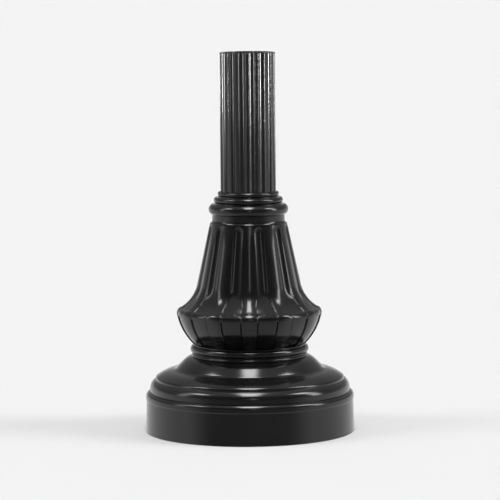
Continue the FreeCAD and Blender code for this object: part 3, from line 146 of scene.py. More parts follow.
def mesh_object(name, vertices, faces, sharpness=PLAIN_SHARPNESS):
    """An object made of points in millimetres and faces, smooth but for its sharp edges."""
    mesh = bpy.data.meshes.new(name)
    mesh.from_pydata([Vector(v) * MM for v in vertices], [], faces)
    mesh.validate()
    mesh.update()
    obj = bpy.data.objects.new(name, mesh)
    bpy.context.scene.collection.objects.link(obj)
    face_outwards(obj)
    smooth(obj, sharpness)
    return obj


def face_outwards(obj):
    work = bmesh.new()
    work.from_mesh(obj.data)
    bmesh.ops.recalc_face_normals(work, faces=work.faces)
    work.to_mesh(obj.data)
    work.free()


def smooth(obj, sharpness=PLAIN_SHARPNESS):
    obj.data.shade_smooth()
    obj.data.set_sharp_from_angle(angle=math.radians(sharpness))


def ring_faces(rings, rows):
    """Faces between closed rings of points, with the last ring joined to the first."""
    faces = []
    for index in range(rings):
        here = index * rows
        there = (index + 1) % rings * rows
        for row in range(rows):
            after = (row + 1) % rows
            faces.append((here + row, there + row, there + after, here + after))
    return faces


def turned(name, outline, edge=0.8, segments=360, step=1.2):
    """A closed outline spun about the post's axis."""
    line = rounded(path(outline, step), edge)
    vertices = []
    for index in range(segments):
        angle = 2 * math.pi * index / segments
        vertices += [(p.x * math.cos(angle), p.x * math.sin(angle), p.y) for p in line]
    return mesh_object(name, vertices, ring_faces(segments, len(line)))


def lathe(name, matrix, line):
    """An outline of (radius, along) spun about the X axis of a frame."""
    rows = len(line)
    vertices = []
    for index in range(BAR_SEGMENTS):
        angle = 2 * math.pi * index / BAR_SEGMENTS
        spun = [Vector((p.y, p.x * math.cos(angle), p.x * math.sin(angle))) for p in line]
        vertices += [matrix @ point for point in spun]
    on_axis = [p.x < 1e-5 for p in line]
    faces = ring_faces(BAR_SEGMENTS, rows)
    faces = [face for face in faces if not (on_axis[face[0] % rows] and on_axis[face[3] % rows])]
    obj = mesh_object(name, vertices, faces)
    work = bmesh.new()
    work.from_mesh(obj.data)
    bmesh.ops.remove_doubles(work, verts=work.verts, dist=1e-6)
    work.to_mesh(obj.data)
    work.free()
    return obj


def bar_outline(radius, start, end):
    """Half the outline of a solid bar: from its axis out, along and back in, with both rims eased."""
    turns = [math.pi / 2 * n / RIM_STEPS for n in range(RIM_STEPS + 1)]
    inset = radius - RIM_EDGE
    foot = start + RIM_EDGE
    low = [Vector((inset + RIM_EDGE * math.sin(t), foot - RIM_EDGE * math.cos(t))) for t in turns]
    high = [Vector((p.x, start + end - p.y)) for p in reversed(low)]
    return [Vector((0, start))] + low + high + [Vector((0, end))]


def rod(name, matrix, radius, start, end):
    """A round bar along the X axis of a frame, with eased rims."""
    return lathe(name, matrix, bar_outline(radius, start, end))


def tube(name, matrix, radius, bore, start, end, edge):
    """A round tube along the X axis of a frame, with eased rims."""
    corners = ((bore, start), (radius, start), (radius, end), (bore, end))
    return lathe(name, matrix, rounded([Vector(corner) for corner in corners], edge))


def block(name, matrix, low, high, edge):
    """A box in a frame, with bevelled edges."""
    work = bmesh.new()
    bmesh.ops.create_cube(work, size=1.0)
    middle = (Vector(low) + Vector(high)) / 2
    extent = Vector(high) - Vector(low)
    for vertex in work.verts:
        vertex.co = matrix @ (vertex.co * extent + middle)
    bmesh.ops.bevel(work, geom=work.edges[:], offset=edge, segments=3, affect="EDGES", profile=0.5)
    for vertex in work.verts:
        vertex.co *= MM
    mesh = bpy.data.meshes.new(name)
    work.to_mesh(mesh)
    work.free()
    obj = bpy.data.objects.new(name, mesh)
    bpy.context.scene.collection.objects.link(obj)
    smooth(obj)
    return obj


def prism(name, rings):
    """A solid between two outlines with as many points each."""
    count = len(rings[0])
    vertices = rings[0] + rings[1]
    faces = [tuple(range(count)), tuple(range(2 * count - 1, count - 1, -1))]
    faces += [(n, count + n, count + (n + 1) % count, (n + 1) % count) for n in range(count)]
    return mesh_object(name, vertices, faces)


def corner_arc(centre, radius, first):
    """A quarter circle that starts at an angle in degrees."""
    angles = [math.radians(first + 90 * n / CORNER_STEPS) for n in range(CORNER_STEPS + 1)]
    return [(centre[0] + radius * math.cos(a), centre[1] + radius * math.sin(a)) for a in angles]


def boolean(obj, tool, operation):
    """Cuts a closed mesh with another, or keeps what they share. The other is used up."""
    modifier = obj.modifiers.new("cut", "BOOLEAN")
    modifier.object = tool
    modifier.operation = operation
    modifier.solver = "EXACT"
    depsgraph = bpy.context.evaluated_depsgraph_get()
    mesh = bpy.data.meshes.new_from_object(obj.evaluated_get(depsgraph))
    obj.modifiers.clear()
    obj.data = mesh
    bpy.data.objects.remove(tool)


def copy_of(obj, name):
    double = bpy.data.objects.new(name, obj.data.copy())
    bpy.context.scene.collection.objects.link(double)
    return double


def join(base, others):
    """Merges other objects' meshes into the first one's."""
    work = bmesh.new()
    work.from_mesh(base.data)
    for other in others:
        work.from_mesh(other.data)
    work.to_mesh(base.data)
    work.free()
    for other in others:
        bpy.data.objects.remove(other)
    smooth(base, FLUTED_SHARPNESS)


# Turned castings: each outline is closed, and runs up the outside and down the inside

SKIRT_WALL = 9.0
SKIRT_DRAFT = 2.2
SKIRT_WALL_TOP = 65.5
SKIRT_BAND_RADIUS = 213.9
SKIRT_BAND_FOOT = 67.0
SKIRT_BAND_TOP = 73.5
LEDGE_RADIUS = 179.6
LEDGE_THICKNESS = 10.0


def make_skirt():
    top_radius = SKIRT_RADIUS - SKIRT_DRAFT
    ledge_foot = SKIRT_HEIGHT - LEDGE_THICKNESS
    outline = [
        (SKIRT_RADIUS - SKIRT_WALL, 0),
        (SKIRT_RADIUS, 0),
        (top_radius, SKIRT_WALL_TOP),
        (SKIRT_BAND_RADIUS, SKIRT_BAND_FOOT),
        (SKIRT_BAND_RADIUS, SKIRT_BAND_TOP),
        (DOME_RADIUS, SKIRT_HEIGHT, 8.5, "right"),
        (LEDGE_RADIUS, SKIRT_HEIGHT),
        (LEDGE_RADIUS, ledge_foot),
        (top_radius - SKIRT_WALL, ledge_foot),
    ]
    obj = turned("skirt_skin", outline, edge=0.7)
    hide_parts("plinth_skirt")
    return obj


DOME_WALL = 8.0
DOME_FOOT_TOP = 90.0
DOME_STEP = 106.5
DOME_STEP_RADIUS = 193.9
DOME_FLANGE = 10.0


def make_dome():
    foot_bore = DOME_RADIUS - DOME_WALL
    flange_foot = NECK_BASE - DOME_FLANGE
    outline = [
        (DOME_RADIUS, SKIRT_HEIGHT),
        (DOME_RADIUS, DOME_FOOT_TOP),
        (195.7, DOME_STEP, 18.9, "right"),
        (DOME_STEP_RADIUS, DOME_STEP),
        (DOME_STEP_RADIUS, 109.5),
        (189.2, 115.3, 7.0, "right"),
        (160, 126.6, 70, "right"),
        (148.5, 133.7, 14, "left"),
        (138, 143.8),
        (122, NECK_BASE, 45, "right"),
        (CASTING_BORE, NECK_BASE),
        (CASTING_BORE, flange_foot),
        (130, flange_foot),
        (140.5, 129.7),
        (154, 119.0),
        (181, 109.5),
        (foot_bore, DOME_FOOT_TOP),
        (foot_bore, SKIRT_HEIGHT),
    ]
    obj = turned("dome_skin", outline)
    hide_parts("pedestal_dome")
    return obj


NECK_BEAD_RADIUS = 117.3
NECK_BEAD_TOP = 160.1
NECK_TORUS_RADIUS = 115.3
NECK_TORUS_FOOT = 161.8
NECK_TORUS_TOP = 177.5
NECK_RADIUS = 113.3


def make_neck():
    outline = [
        (CASTING_BORE, NECK_BASE),
        (NECK_BEAD_RADIUS, NECK_BASE),
        (NECK_BEAD_RADIUS, NECK_BEAD_TOP, 3.2, "right"),
        (NECK_TORUS_RADIUS, NECK_BEAD_TOP),
        (NECK_TORUS_RADIUS, NECK_TORUS_FOOT),
        (NECK_TORUS_RADIUS, NECK_TORUS_TOP, 8, "right"),
        (NECK_RADIUS, NECK_TORUS_TOP),
        (NECK_RADIUS, BELL_BASE),
        (CASTING_BORE, BELL_BASE),
    ]
    obj = turned("neck_skin", outline, edge=0.5, step=0.8)
    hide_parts("neck_ring")
    return obj


# Collar rings from below: radius, height, curve, and radius of the neck above. The last neck is the bore
COLLAR_RINGS = (
    (74.4, 21.6, 11.6, 68.6),
    (66.6, 12.0, 6.2, 61.8),
    (59.8, 9.2, 4.9, SHAFT_CLEARANCE),
)
COLLAR_NECK_HEIGHT = 2.2
SET_SCREW_AZIMUTHS = (30.0, 90.0, 150.0)
SET_SCREW_RISE = 10.8
SET_SCREW_WAY = 4.0


def collar_outline():
    height = COLLAR_BASE
    outline = []
    for radius, rise, curve, neck in COLLAR_RINGS:
        outline.append((radius, height))
        outline.append((radius, height + rise, curve, "right"))
        outline.append((neck, height + rise))
        height += rise + COLLAR_NECK_HEIGHT
        outline.append((neck, height))
    outline[-1] = (SHAFT_CLEARANCE, COLLAR_BASE)
    return outline


def make_collar():
    obj = turned("collar_skin", collar_outline(), edge=0.5, segments=240, step=0.8)
    lift = Matrix.Translation((0, 0, COLLAR_BASE + SET_SCREW_RISE))
    for azimuth in SET_SCREW_AZIMUTHS:
        place = lift @ Matrix.Rotation(math.radians(azimuth), 4, "Z")
        way = rod("set_screw_way", place, SET_SCREW_WAY, SHAFT_RADIUS, SKIRT_RADIUS / 2)
        boolean(obj, way, "DIFFERENCE")
    smooth(obj)
    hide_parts("shaft_collar")
    return obj


# Bell: a crest line spun round, with flutes above the rim and panels below it. Heights are above its foot

RIBS = 12
BELL_FOOT_RADIUS = 115.3
BOWL_TOP = (148.6, 60.4)
RIM = (139.2, 76.7)
WAIST = (106.4, 123.4)
CROWN = (79.2, 248.4)
BAND_FOOT = 255.4
BELL_HEIGHT = 266.4
BAND_RADIUS = 74.5
CROWN_SLOPE = (WAIST[0] - CROWN[0]) / (CROWN[1] - WAIST[1])
OUTSIDE = [
    (BELL_FOOT_RADIUS, 0),
    (*BOWL_TOP, 123.3, "right"),
    (*RIM, 12.75, "right"),
    (*WAIST, 73.6, "left"),
    CROWN,
    (BAND_RADIUS, BAND_FOOT, 9.0, "left"),
    (BAND_RADIUS, BELL_HEIGHT),
]
FOOT_FLANGE = 10.0
INSIDE = [
    (SHAFT_CLEARANCE, BELL_HEIGHT),
    (SHAFT_CLEARANCE, BAND_FOOT),
    (66.2, CROWN[1]),
    (93.4, WAIST[1]),
    (131.0, 70.4, 86.6, "right"),
    (136.3, BOWL_TOP[1]),
    (106.3, FOOT_FLANGE, 111.0, "left"),
    (CASTING_BORE, FOOT_FLANGE),
    (CASTING_BORE, 0),
]

# The hollow between two ribs at heights above the bell's foot: its half angle in degrees, its depth, and
# its roundness, which goes from 0 for a flat panel to 1 for a round flute
FLUTE_TOP = 236.4
HALF_ANGLES = [(77.0, 9.0), (84.0, 9.6), (98.0, 8.6), (WAIST[1], 7.4), (FLUTE_TOP, 7.5)]
DEPTHS = [
    (BOWL_TOP[1] - 0.1, 3.0),
    (BOWL_TOP[1] + 0.1, 1.5),
    (RIM[1] - 0.2, 1.5),
    (RIM[1] + 0.3, 2.2),
    (86.0, 2.6),
    (98.0, 3.4),
    (112.0, 4.8),
    (WAIST[1], 5.2),
    (FLUTE_TOP, 4.4),
]
ROUNDNESS = [(RIM[1], 0.0), (86.0, 0.1), (98.0, 0.4), (112.0, 1.0)]
# How much lower a rib's sides stand than its middle
RIB_CROWNS = [
    (30.0, 0.3),
    (BOWL_TOP[1], 0.6),
    (RIM[1], 1.2),
    (86.0, 1.1),
    (98.0, 1.2),
    (112.0, 1.5),
    (FLUTE_TOP - 30, 1.0),
    (FLUTE_TOP, 0.0),
]
# Slope of a panel's walls, rounding at their foot, and the groove along a panel's edges
PANEL_WALL = 1.8
FILLETS = [(RIM[1], 0.3), (84.0, 1.3)]
GROOVES = [(22.0, 0.8), (40.0, 1.6), (BOWL_TOP[1] - 1, 1.4), (BOWL_TOP[1] + 1, 0.6), (RIM[1], 0.0)]
GROOVE_OFFSET = 2.0
GROOVE_WIDTH = 1.1
# Rounding of the edge between rib and hollow, and how far from its middle a rib's crown goes on falling,
# as a share of its half width
ARRIS = 0.7
CROWN_REACH = 1.2
# Least bulge of a hollow's floor, and the depth that counts where its circle doesn't reach
LEAST_SAGITTA = 0.2
OUT_OF_REACH = -3.0
# Half width that a flute's ball end shrinks to
BALL_POINT = 0.5

# The mesh: steps along arcs, the longest row, the rows beside a step in the depth, and the columns of a half
# pitch as shares of the hollow's middle part, distances from its edge and shares of the rest of the rib
OUTSIDE_STEP = 1.3
INSIDE_STEP = 6.0
LONGEST_ROW = 2.4
ROWS_BESIDE_STEP = (-0.25, 0.35)
HOLLOW_SHARES = (0.0, 0.27, 0.52, 0.77, 1.0)
EDGE_STEPS = (-4.2, -3.2, -2.5, -2.0, -1.5, -1.0, -0.5, 0.0, 0.4, 0.8, 1.4)
RIB_SHARES = (0.33, 0.66, 1.0)
EDGE_ZONE = 5.5
# Half width below which the columns at the edge are squeezed together
ROOMY_HALF_WIDTH = 9.0


def between(value, places):
    """Straight-line reading of a table of (place, value) pairs in rising order."""
    if value <= places[0][0]:
        return places[0][1]
    for (low, first), (high, second) in zip(places, places[1:]):
        if value <= high:
            return first + (second - first) * (value - low) / (high - low)
    return places[-1][1]


def smooth_least(a, b, reach):
    """The lesser of two numbers, with a round change from one to the other."""
    blend = min(max(0.5 + 0.5 * (b - a) / reach, 0.0), 1.0)
    return b * (1 - blend) + a * blend - reach * blend * (1 - blend)


def rise_over(crest, half_width):
    """How far the crest's circle bulges over a straight line between a hollow's edges."""
    return crest - math.sqrt(crest**2 - half_width**2)


def curve_through(half_width, sagitta):
    """Radius of the circle that bulges by the sagitta between two edges."""
    return (half_width**2 + sagitta**2) / (2 * sagitta)


def hollow(height, crest):
    """Half width, depth and roundness of the hollow at a height above the bell's foot."""
    half_width = crest * math.sin(math.radians(between(height, HALF_ANGLES)))
    depth = between(height, DEPTHS)
    if height <= FLUTE_TOP:
        return half_width, depth, between(height, ROUNDNESS)
    return ball_end(height - FLUTE_TOP, crest, half_width, depth)


def ball_end(above, crest, half_width, depth):
    """The same where the flute ends in a ball, at a distance above its straight part."""
    sagitta = depth - rise_over(crest, half_width)
    curve = curve_through(half_width, sagitta)
    inside = curve**2 - above**2 - (curve - sagitta) ** 2
    if inside <= BALL_POINT**2:
        return BALL_POINT, 0.0, 1.0
    share = (math.sqrt(curve**2 - above**2) - curve + sagitta) / sagitta
    return math.sqrt(inside), depth * share, 1.0


def round_floor(across, half_width, depth, crest):
    """Depth of a hollow with a round floor, at a distance from its middle."""
    sagitta = max(depth - rise_over(crest, half_width), LEAST_SAGITTA)
    curve = curve_through(half_width, sagitta)
    if abs(across) >= curve:
        return OUT_OF_REACH
    bowed = sagitta - curve + math.sqrt(curve**2 - across**2)
    return bowed + rise_over(crest, half_width) - rise_over(crest, across)


def flat_floor(across, half_width, depth, height):
    """Depth of a flat panel with sloping walls and a groove along them."""
    inside = half_width - abs(across)
    groove = between(height, GROOVES) * math.exp(-(((inside - GROOVE_OFFSET) / GROOVE_WIDTH) ** 2))
    return smooth_least(depth, inside * PANEL_WALL, between(height, FILLETS)) + groove


def depth_at(across, half_width, depth, roundness, point):
    """How far the surface lies under the crest at a distance across the hollow's middle."""
    crest, height = point
    reach = crest * math.pi / RIBS
    share = min((reach - abs(across)) / max(reach - half_width, 1.0), CROWN_REACH)
    rib = between(height, RIB_CROWNS) * share**2
    if depth <= 0:
        return rib
    round_part = round_floor(across, half_width, depth, crest) * roundness
    flat_part = flat_floor(across, half_width, depth, height) * (1 - roundness)
    return max(-smooth_least(-rib, -round_part - flat_part, ARRIS), 0.0)


def half_pitch_columns(half_width, reach):
    """Distances across from a hollow's middle to the next rib's middle."""
    squeeze = min(half_width / ROOMY_HALF_WIDTH, 1.0)
    inner = half_width - EDGE_ZONE * squeeze
    columns = [inner * share for share in HOLLOW_SHARES]
    columns += [half_width + step * squeeze for step in EDGE_STEPS]
    last = columns[-1]
    return columns + [last + (reach - last) * share for share in RIB_SHARES]


def outward_normals(line):
    """Unit normals of an outline that rises along the outside."""
    normals = []
    for index in range(len(line)):
        along = line[min(index + 1, len(line) - 1)] - line[max(index - 1, 0)]
        normals.append(Vector((along.y, -along.x)).normalized())
    return normals


def bell_rows():
    """Points of the bell's outline, close together where the hollows' depth steps."""
    line = path(OUTSIDE, OUTSIDE_STEP)
    beside = [step + offset for step in (BOWL_TOP[1], RIM[1]) for offset in ROWS_BESIDE_STEP]
    rows = [line[-1]]
    for a, b in zip(line, line[1:]):
        count = max(1, math.ceil((b - a).length / LONGEST_ROW))
        rows += [a + (b - a) * (n / count) for n in range(count)]
        rows += [a + (b - a) * ((height - a.y) / (b.y - a.y)) for height in beside if a.y < height < b.y]
    return sorted(rows, key=lambda p: p.y)


def bell_ring(point, normal):
    """One closed ring of the bell's outside, at a point of its outline."""
    half_width, depth, roundness = hollow(point.y, point.x)
    columns = half_pitch_columns(half_width, point.x * math.pi / RIBS)
    signed = [-c for c in reversed(columns[1:])] + columns[:-1]
    ring = []
    for rib in range(RIBS):
        middle = (rib + 0.5) * 2 * math.pi / RIBS
        for across in signed:
            sunk = depth_at(across, half_width, depth, roundness, point)
            radius = point.x - normal.x * sunk
            height = BELL_BASE + point.y - normal.y * sunk
            angle = middle + across / point.x
            ring.append((radius * math.cos(angle), radius * math.sin(angle), height))
    return ring


def make_bell():
    outside = bell_rows()
    rings = [bell_ring(p, n) for p, n in zip(outside, outward_normals(outside))]
    turns = [math.atan2(y, x) for x, y, z in rings[0]]
    for p in path(INSIDE, INSIDE_STEP):
        rings.append([(p.x * math.cos(a), p.x * math.sin(a), BELL_BASE + p.y) for a in turns])
    vertices = [vertex for ring in rings for vertex in ring]
    return mesh_object("bell_skin", vertices, ring_faces(len(rings), len(turns)), FLUTED_SHARPNESS)


# Shaft

SHAFT_FLUTES = 18
COLUMNS_PER_FLUTE = 32
SHAFT_FLUTE_CURVE = 9.3
SHAFT_FLUTE_CENTRE = 63.1
SHAFT_ARRIS = 0.7
SHAFT_LEVELS = (PLATE_TOP, COLLAR_BASE, 500.0, 600.0, 700.0, SHAFT_TOP - 1.5, SHAFT_TOP - 0.5)
TOP_BEVEL = 0.4
SPIGOT_RADIUS = 50.5
SPIGOT_FOOT = 687.2
SHAFT_INSIDE = (
    (SPIGOT_RADIUS, SHAFT_TOP),
    (SPIGOT_RADIUS, SPIGOT_FOOT),
    (SHAFT_BORE, SPIGOT_FOOT),
    (SHAFT_BORE, PLATE_TOP),
)


def shaft_radius_at(offset):
    """Radius of the shaft at an angle from the nearest flute's middle."""
    inside = SHAFT_FLUTE_CURVE**2 - (SHAFT_FLUTE_CENTRE * math.sin(offset)) ** 2
    if inside <= 0:
        return SHAFT_RADIUS
    floor = SHAFT_FLUTE_CENTRE * math.cos(offset) - math.sqrt(inside)
    return smooth_least(SHAFT_RADIUS, floor, SHAFT_ARRIS)


def make_shaft():
    segments = SHAFT_FLUTES * COLUMNS_PER_FLUTE
    rows = len(SHAFT_LEVELS) + 1 + len(SHAFT_INSIDE)
    vertices = []
    for index in range(segments):
        azimuth = 2 * math.pi * index / segments
        step = index % COLUMNS_PER_FLUTE / COLUMNS_PER_FLUTE
        offset = (step if step < 0.5 else step - 1) * 2 * math.pi / SHAFT_FLUTES
        radius = shaft_radius_at(offset)
        column = [(radius, level) for level in SHAFT_LEVELS]
        column += [(radius - TOP_BEVEL, SHAFT_TOP), *SHAFT_INSIDE]
        vertices += [(r * math.cos(azimuth), r * math.sin(azimuth), level) for r, level in column]
    return mesh_object("shaft_skin", vertices, ring_faces(segments, rows), FLUTED_SHARPNESS)


# Door, lock and hinge in the bell's back, in frames that stand on the cone

DOOR_BOTTOM = 128.0
DOOR_TOP = 230.0
# The door reaches from rib to rib, by this angle to each side of the back
DOOR_HALF_ANGLE = math.radians(30)
DOOR_DRAFT = 12.0
DOOR_CORNER = 10.0
DOOR_GAP = 1.2
# The plug that parts door and bell reaches so far out of the cone and into it
PLUG_REACH = (20.0, -28.0)

REAR = 90.0
FRAME_SCREW_SPREAD = 35.0
FRAME_SCREW_HEIGHTS = (130.0, 220.0)
FRAME_SCREW_WAY = 5.2
FRAME_SCREW_REACH = (-30.0, 6.0)

LOCK_AZIMUTH = 105.0
LOCK_HEIGHT = 178.0
LOCK_BOSS_RADIUS = 13.0
LOCK_BOSS_REACH = (-12.0, 1.0)
LOCK_BOSS_EDGE = 0.8
LOCK_WAY = 10.0
LOCK_WAY_REACH = (-30.0, 12.0)

HINGE_RIB = 60.0
HINGE_HEIGHTS = (150.0, 196.0)
HINGE_STAND_OFF = 5.6
KNUCKLE_RADIUS = 5.0
KNUCKLE_BORE = 2.56
KNUCKLE_LENGTH = 12.8
# Foot of a knuckle above its place, and how far its web spans sideways from the rib's middle
DOOR_KNUCKLE = (0.2, (1.0, 12.0))
BELL_KNUCKLE = (-13.0, (-12.0, -2.4))
WEB_ROOT = -3.0

HAND_HOLE_HALF_WIDTH = 30.0
HAND_HOLE_CORNER = 22.0
HAND_HOLE_TOP_DROP = 4.0
HAND_HOLE_REACH = 90.0


def cone_radius(height):
    return WAIST[0] - (height - WAIST[1]) * CROWN_SLOPE


def cone_frame(azimuth, height):
    """X points out of the cone, Y round the post and Z up the rib."""
    lean = math.atan(CROWN_SLOPE)
    turn = math.radians(azimuth)
    out = Vector((math.cos(turn) * math.cos(lean), math.sin(turn) * math.cos(lean), math.sin(lean)))
    side = Vector((-math.sin(turn), math.cos(turn), 0))
    up = out.cross(side)
    radius = cone_radius(height)
    spot = Vector((radius * math.cos(turn), radius * math.sin(turn), BELL_BASE + height))
    return Matrix.Translation(spot) @ Matrix((out, side, up)).transposed().to_4x4()


def rounded_outline(low_half, high_half, foot, head, corner):
    """An upright outline of (across, along) with round corners, as wide as given at foot and head."""
    starts = (
        ((low_half - corner, foot + corner), 270),
        ((high_half - corner, head - corner), 0),
        ((corner - high_half, head - corner), 90),
        ((corner - low_half, foot + corner), 180),
    )
    return [point for centre, first in starts for point in corner_arc(centre, corner, first)]


def door_plug(name, growth):
    """The tapered plug that parts door and bell."""
    across = math.cos(DOOR_HALF_ANGLE)
    lean = math.atan(across * CROWN_SLOPE)
    spot = Vector((0, across * cone_radius(DOOR_BOTTOM), BELL_BASE + DOOR_BOTTOM))
    matrix = Matrix.Translation(spot) @ Matrix.Rotation(lean, 4, "X")
    length = (DOOR_TOP - DOOR_BOTTOM) / math.cos(lean)
    rings = []
    for depth in PLUG_REACH:
        widen = growth + depth * math.tan(math.radians(DOOR_DRAFT))
        low = math.sin(DOOR_HALF_ANGLE) * cone_radius(DOOR_BOTTOM) + widen
        high = math.sin(DOOR_HALF_ANGLE) * cone_radius(DOOR_TOP) + widen
        outline = rounded_outline(low, high, -widen, length + widen, DOOR_CORNER)
        rings.append([matrix @ Vector((x, depth, z)) for x, z in outline])
    return prism(name, rings)


def knuckle(name, place, foot, web_sides):
    """A hinge knuckle along the rib, and the web that carries it."""
    turn = Matrix.Rotation(math.radians(-90), 4, "Y")
    barrel = place @ Matrix.Translation((HINGE_STAND_OFF, 0, foot)) @ turn
    near, far = web_sides
    web_low = (WEB_ROOT, near, foot)
    web_high = (HINGE_STAND_OFF + KNUCKLE_RADIUS / 2, far, foot + KNUCKLE_LENGTH)
    return [
        tube(name + "_barrel", barrel, KNUCKLE_RADIUS, KNUCKLE_BORE, 0.0, KNUCKLE_LENGTH, 0.6),
        block(name + "_web", place, web_low, web_high, 0.8),
    ]


def knuckles(name, foot, web_sides):
    pieces = []
    for height in HINGE_HEIGHTS:
        pieces += knuckle(name, cone_frame(HINGE_RIB, height), foot, web_sides)
    return pieces


def cut_frame_screw_ways(bell):
    for azimuth in (REAR - FRAME_SCREW_SPREAD, REAR + FRAME_SCREW_SPREAD):
        for height in FRAME_SCREW_HEIGHTS:
            place = cone_frame(azimuth, height)
            boolean(bell, rod("screw_way", place, FRAME_SCREW_WAY, *FRAME_SCREW_REACH), "DIFFERENCE")


def part_door_and_bell(bell):
    """Cuts the door out of the bell and gives both their knuckles, and the door its lock boss."""
    door = copy_of(bell, "door_skin")
    boolean(door, door_plug("door_plug", 0.0), "INTERSECT")
    boolean(bell, door_plug("opening_plug", DOOR_GAP), "DIFFERENCE")
    cut_frame_screw_ways(bell)
    lock_place = cone_frame(LOCK_AZIMUTH, LOCK_HEIGHT)
    boss = tube("lock_boss", lock_place, LOCK_BOSS_RADIUS, LOCK_WAY, *LOCK_BOSS_REACH, LOCK_BOSS_EDGE)
    boolean(door, rod("lock_way", lock_place, LOCK_WAY, *LOCK_WAY_REACH), "DIFFERENCE")
    join(door, [boss] + knuckles("door_knuckle", *DOOR_KNUCKLE))
    join(bell, knuckles("bell_knuckle", *BELL_KNUCKLE))
    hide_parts("bell_casting")
    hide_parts("access_door")
    return bell, door


def cut_hand_hole(shaft):
    """The opening behind the door, through the shaft's back wall."""
    foot = BELL_BASE + DOOR_BOTTOM
    head = BELL_BASE + DOOR_TOP - HAND_HOLE_TOP_DROP
    half = HAND_HOLE_HALF_WIDTH
    outline = rounded_outline(half, half, foot, head, HAND_HOLE_CORNER)
    rings = [[Vector((x, y, z)) for x, z in outline] for y in (HAND_HOLE_REACH, 0.0)]
    boolean(shaft, prism("hand_hole", rings), "DIFFERENCE")
    smooth(shaft, FLUTED_SHARPNESS)
    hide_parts("fluted_shaft")
    return shaft


# Materials

# Readings of a noise texture between which a colour or gloss goes from one end to the other
NOISE_LOW = 0.35
NOISE_HIGH = 0.65
PAINT_DARK = (0.0045, 0.0045, 0.0048)
PAINT_LIGHT = (0.0065, 0.0065, 0.0068)
PAINT_ROUGHNESS = (0.14, 0.18)
# Scales of the noise in the paint: slow patches, waves left by the casting, and orange peel
PAINT_PATCHES = 14.0
PAINT_WAVES = 45.0
PAINT_PEEL = 420.0


def new_material(name):
    material = bpy.data.materials.new(name)
    material.use_nodes = True
    return material, material.node_tree.nodes, material.node_tree.links


def noise(nodes, links, scale, detail=4.0):
    where = nodes.new("ShaderNodeTexCoord")
    texture = nodes.new("ShaderNodeTexNoise")
    texture.inputs["Scale"].default_value = scale
    texture.inputs["Detail"].default_value = detail
    texture.inputs["Roughness"].default_value = 0.55
    links.new(where.outputs["Object"], texture.inputs["Vector"])
    return texture


def ranged(nodes, links, texture, low, high):
    """A number between two limits that follows the noise."""
    reading = nodes.new("ShaderNodeMapRange")
    reading.inputs["From Min"].default_value = NOISE_LOW
    reading.inputs["From Max"].default_value = NOISE_HIGH
    reading.inputs["To Min"].default_value = low
    reading.inputs["To Max"].default_value = high
    links.new(texture.outputs["Fac"], reading.inputs["Value"])
    return reading


def coloured(nodes, links, texture, dark, light):
    """A colour between two others that follows the noise."""
    ramp = nodes.new("ShaderNodeValToRGB")
    ramp.color_ramp.elements[0].position = NOISE_LOW
    ramp.color_ramp.elements[0].color = (*dark, 1)
    ramp.color_ramp.elements[1].position = NOISE_HIGH
    ramp.color_ramp.elements[1].color = (*light, 1)
    links.new(texture.outputs["Fac"], ramp.inputs["Fac"])
    return ramp


def bump(nodes, links, texture, strength, distance, under=None):
    node = nodes.new("ShaderNodeBump")
    node.inputs["Strength"].default_value = strength
    node.inputs["Distance"].default_value = distance
    links.new(texture.outputs["Fac"], node.inputs["Height"])
    if under:
        links.new(under.outputs["Normal"], node.inputs["Normal"])
    return node


def surface(name, dark, light, rough, metallic=0.0, grain=900.0, relief=0.0002, blotch=9.0):
    """A material with blotches of colour, uneven gloss and a fine relief."""
    material, nodes, links = new_material(name)
    shader = nodes["Principled BSDF"]
    shader.inputs["Metallic"].default_value = metallic
    patches = noise(nodes, links, blotch)
    fine = noise(nodes, links, grain, detail=3.0)
    links.new(coloured(nodes, links, patches, dark, light).outputs["Color"], shader.inputs["Base Color"])
    links.new(ranged(nodes, links, patches, *rough).outputs["Result"], shader.inputs["Roughness"])
    rough_skin = bump(nodes, links, fine, strength=0.25, distance=relief)
    links.new(rough_skin.outputs["Normal"], shader.inputs["Normal"])
    return material


def post_paint():
    """Black semi-gloss paint over a casting: slight orange peel over a slower unevenness."""
    material, nodes, links = new_material("post_paint")
    shader = nodes["Principled BSDF"]
    patches = noise(nodes, links, PAINT_PATCHES)
    peel = noise(nodes, links, PAINT_PEEL, detail=2.0)
    waves = noise(nodes, links, PAINT_WAVES, detail=2.0)
    colour = coloured(nodes, links, patches, PAINT_DARK, PAINT_LIGHT)
    links.new(colour.outputs["Color"], shader.inputs["Base Color"])
    links.new(ranged(nodes, links, patches, *PAINT_ROUGHNESS).outputs["Result"], shader.inputs["Roughness"])
    slow = bump(nodes, links, waves, strength=0.1, distance=0.0004)
    relief = bump(nodes, links, peel, strength=0.1, distance=0.00008, under=slow)
    links.new(relief.outputs["Normal"], shader.inputs["Normal"])
    return material


# Darker and lighter colour and range of roughness, of the metals and then of the rubber and plastics
METALS = {
    "zinc_steel": ((0.42, 0.43, 0.45), (0.6, 0.6, 0.6), (0.25, 0.4)),
    "stainless": ((0.55, 0.55, 0.54), (0.68, 0.68, 0.67), (0.18, 0.3)),
    "lock_metal": ((0.6, 0.6, 0.58), (0.72, 0.72, 0.7), (0.12, 0.22)),
    "brass": ((0.62, 0.45, 0.2), (0.78, 0.6, 0.3), (0.2, 0.35)),
}
GALVANISED = ((0.36, 0.37, 0.38), (0.55, 0.56, 0.57), (0.4, 0.6))
PLASTICS = {
    "seal_rubber": ((0.012, 0.012, 0.012), (0.025, 0.025, 0.025), (0.6, 0.8)),
    "bush_plastic": ((0.02, 0.02, 0.02), (0.04, 0.04, 0.04), (0.45, 0.6)),
    "block_plastic": ((0.4, 0.41, 0.4), (0.48, 0.49, 0.48), (0.4, 0.5)),
    "fuse_plastic": ((0.7, 0.69, 0.65), (0.8, 0.79, 0.75), (0.2, 0.3)),
}


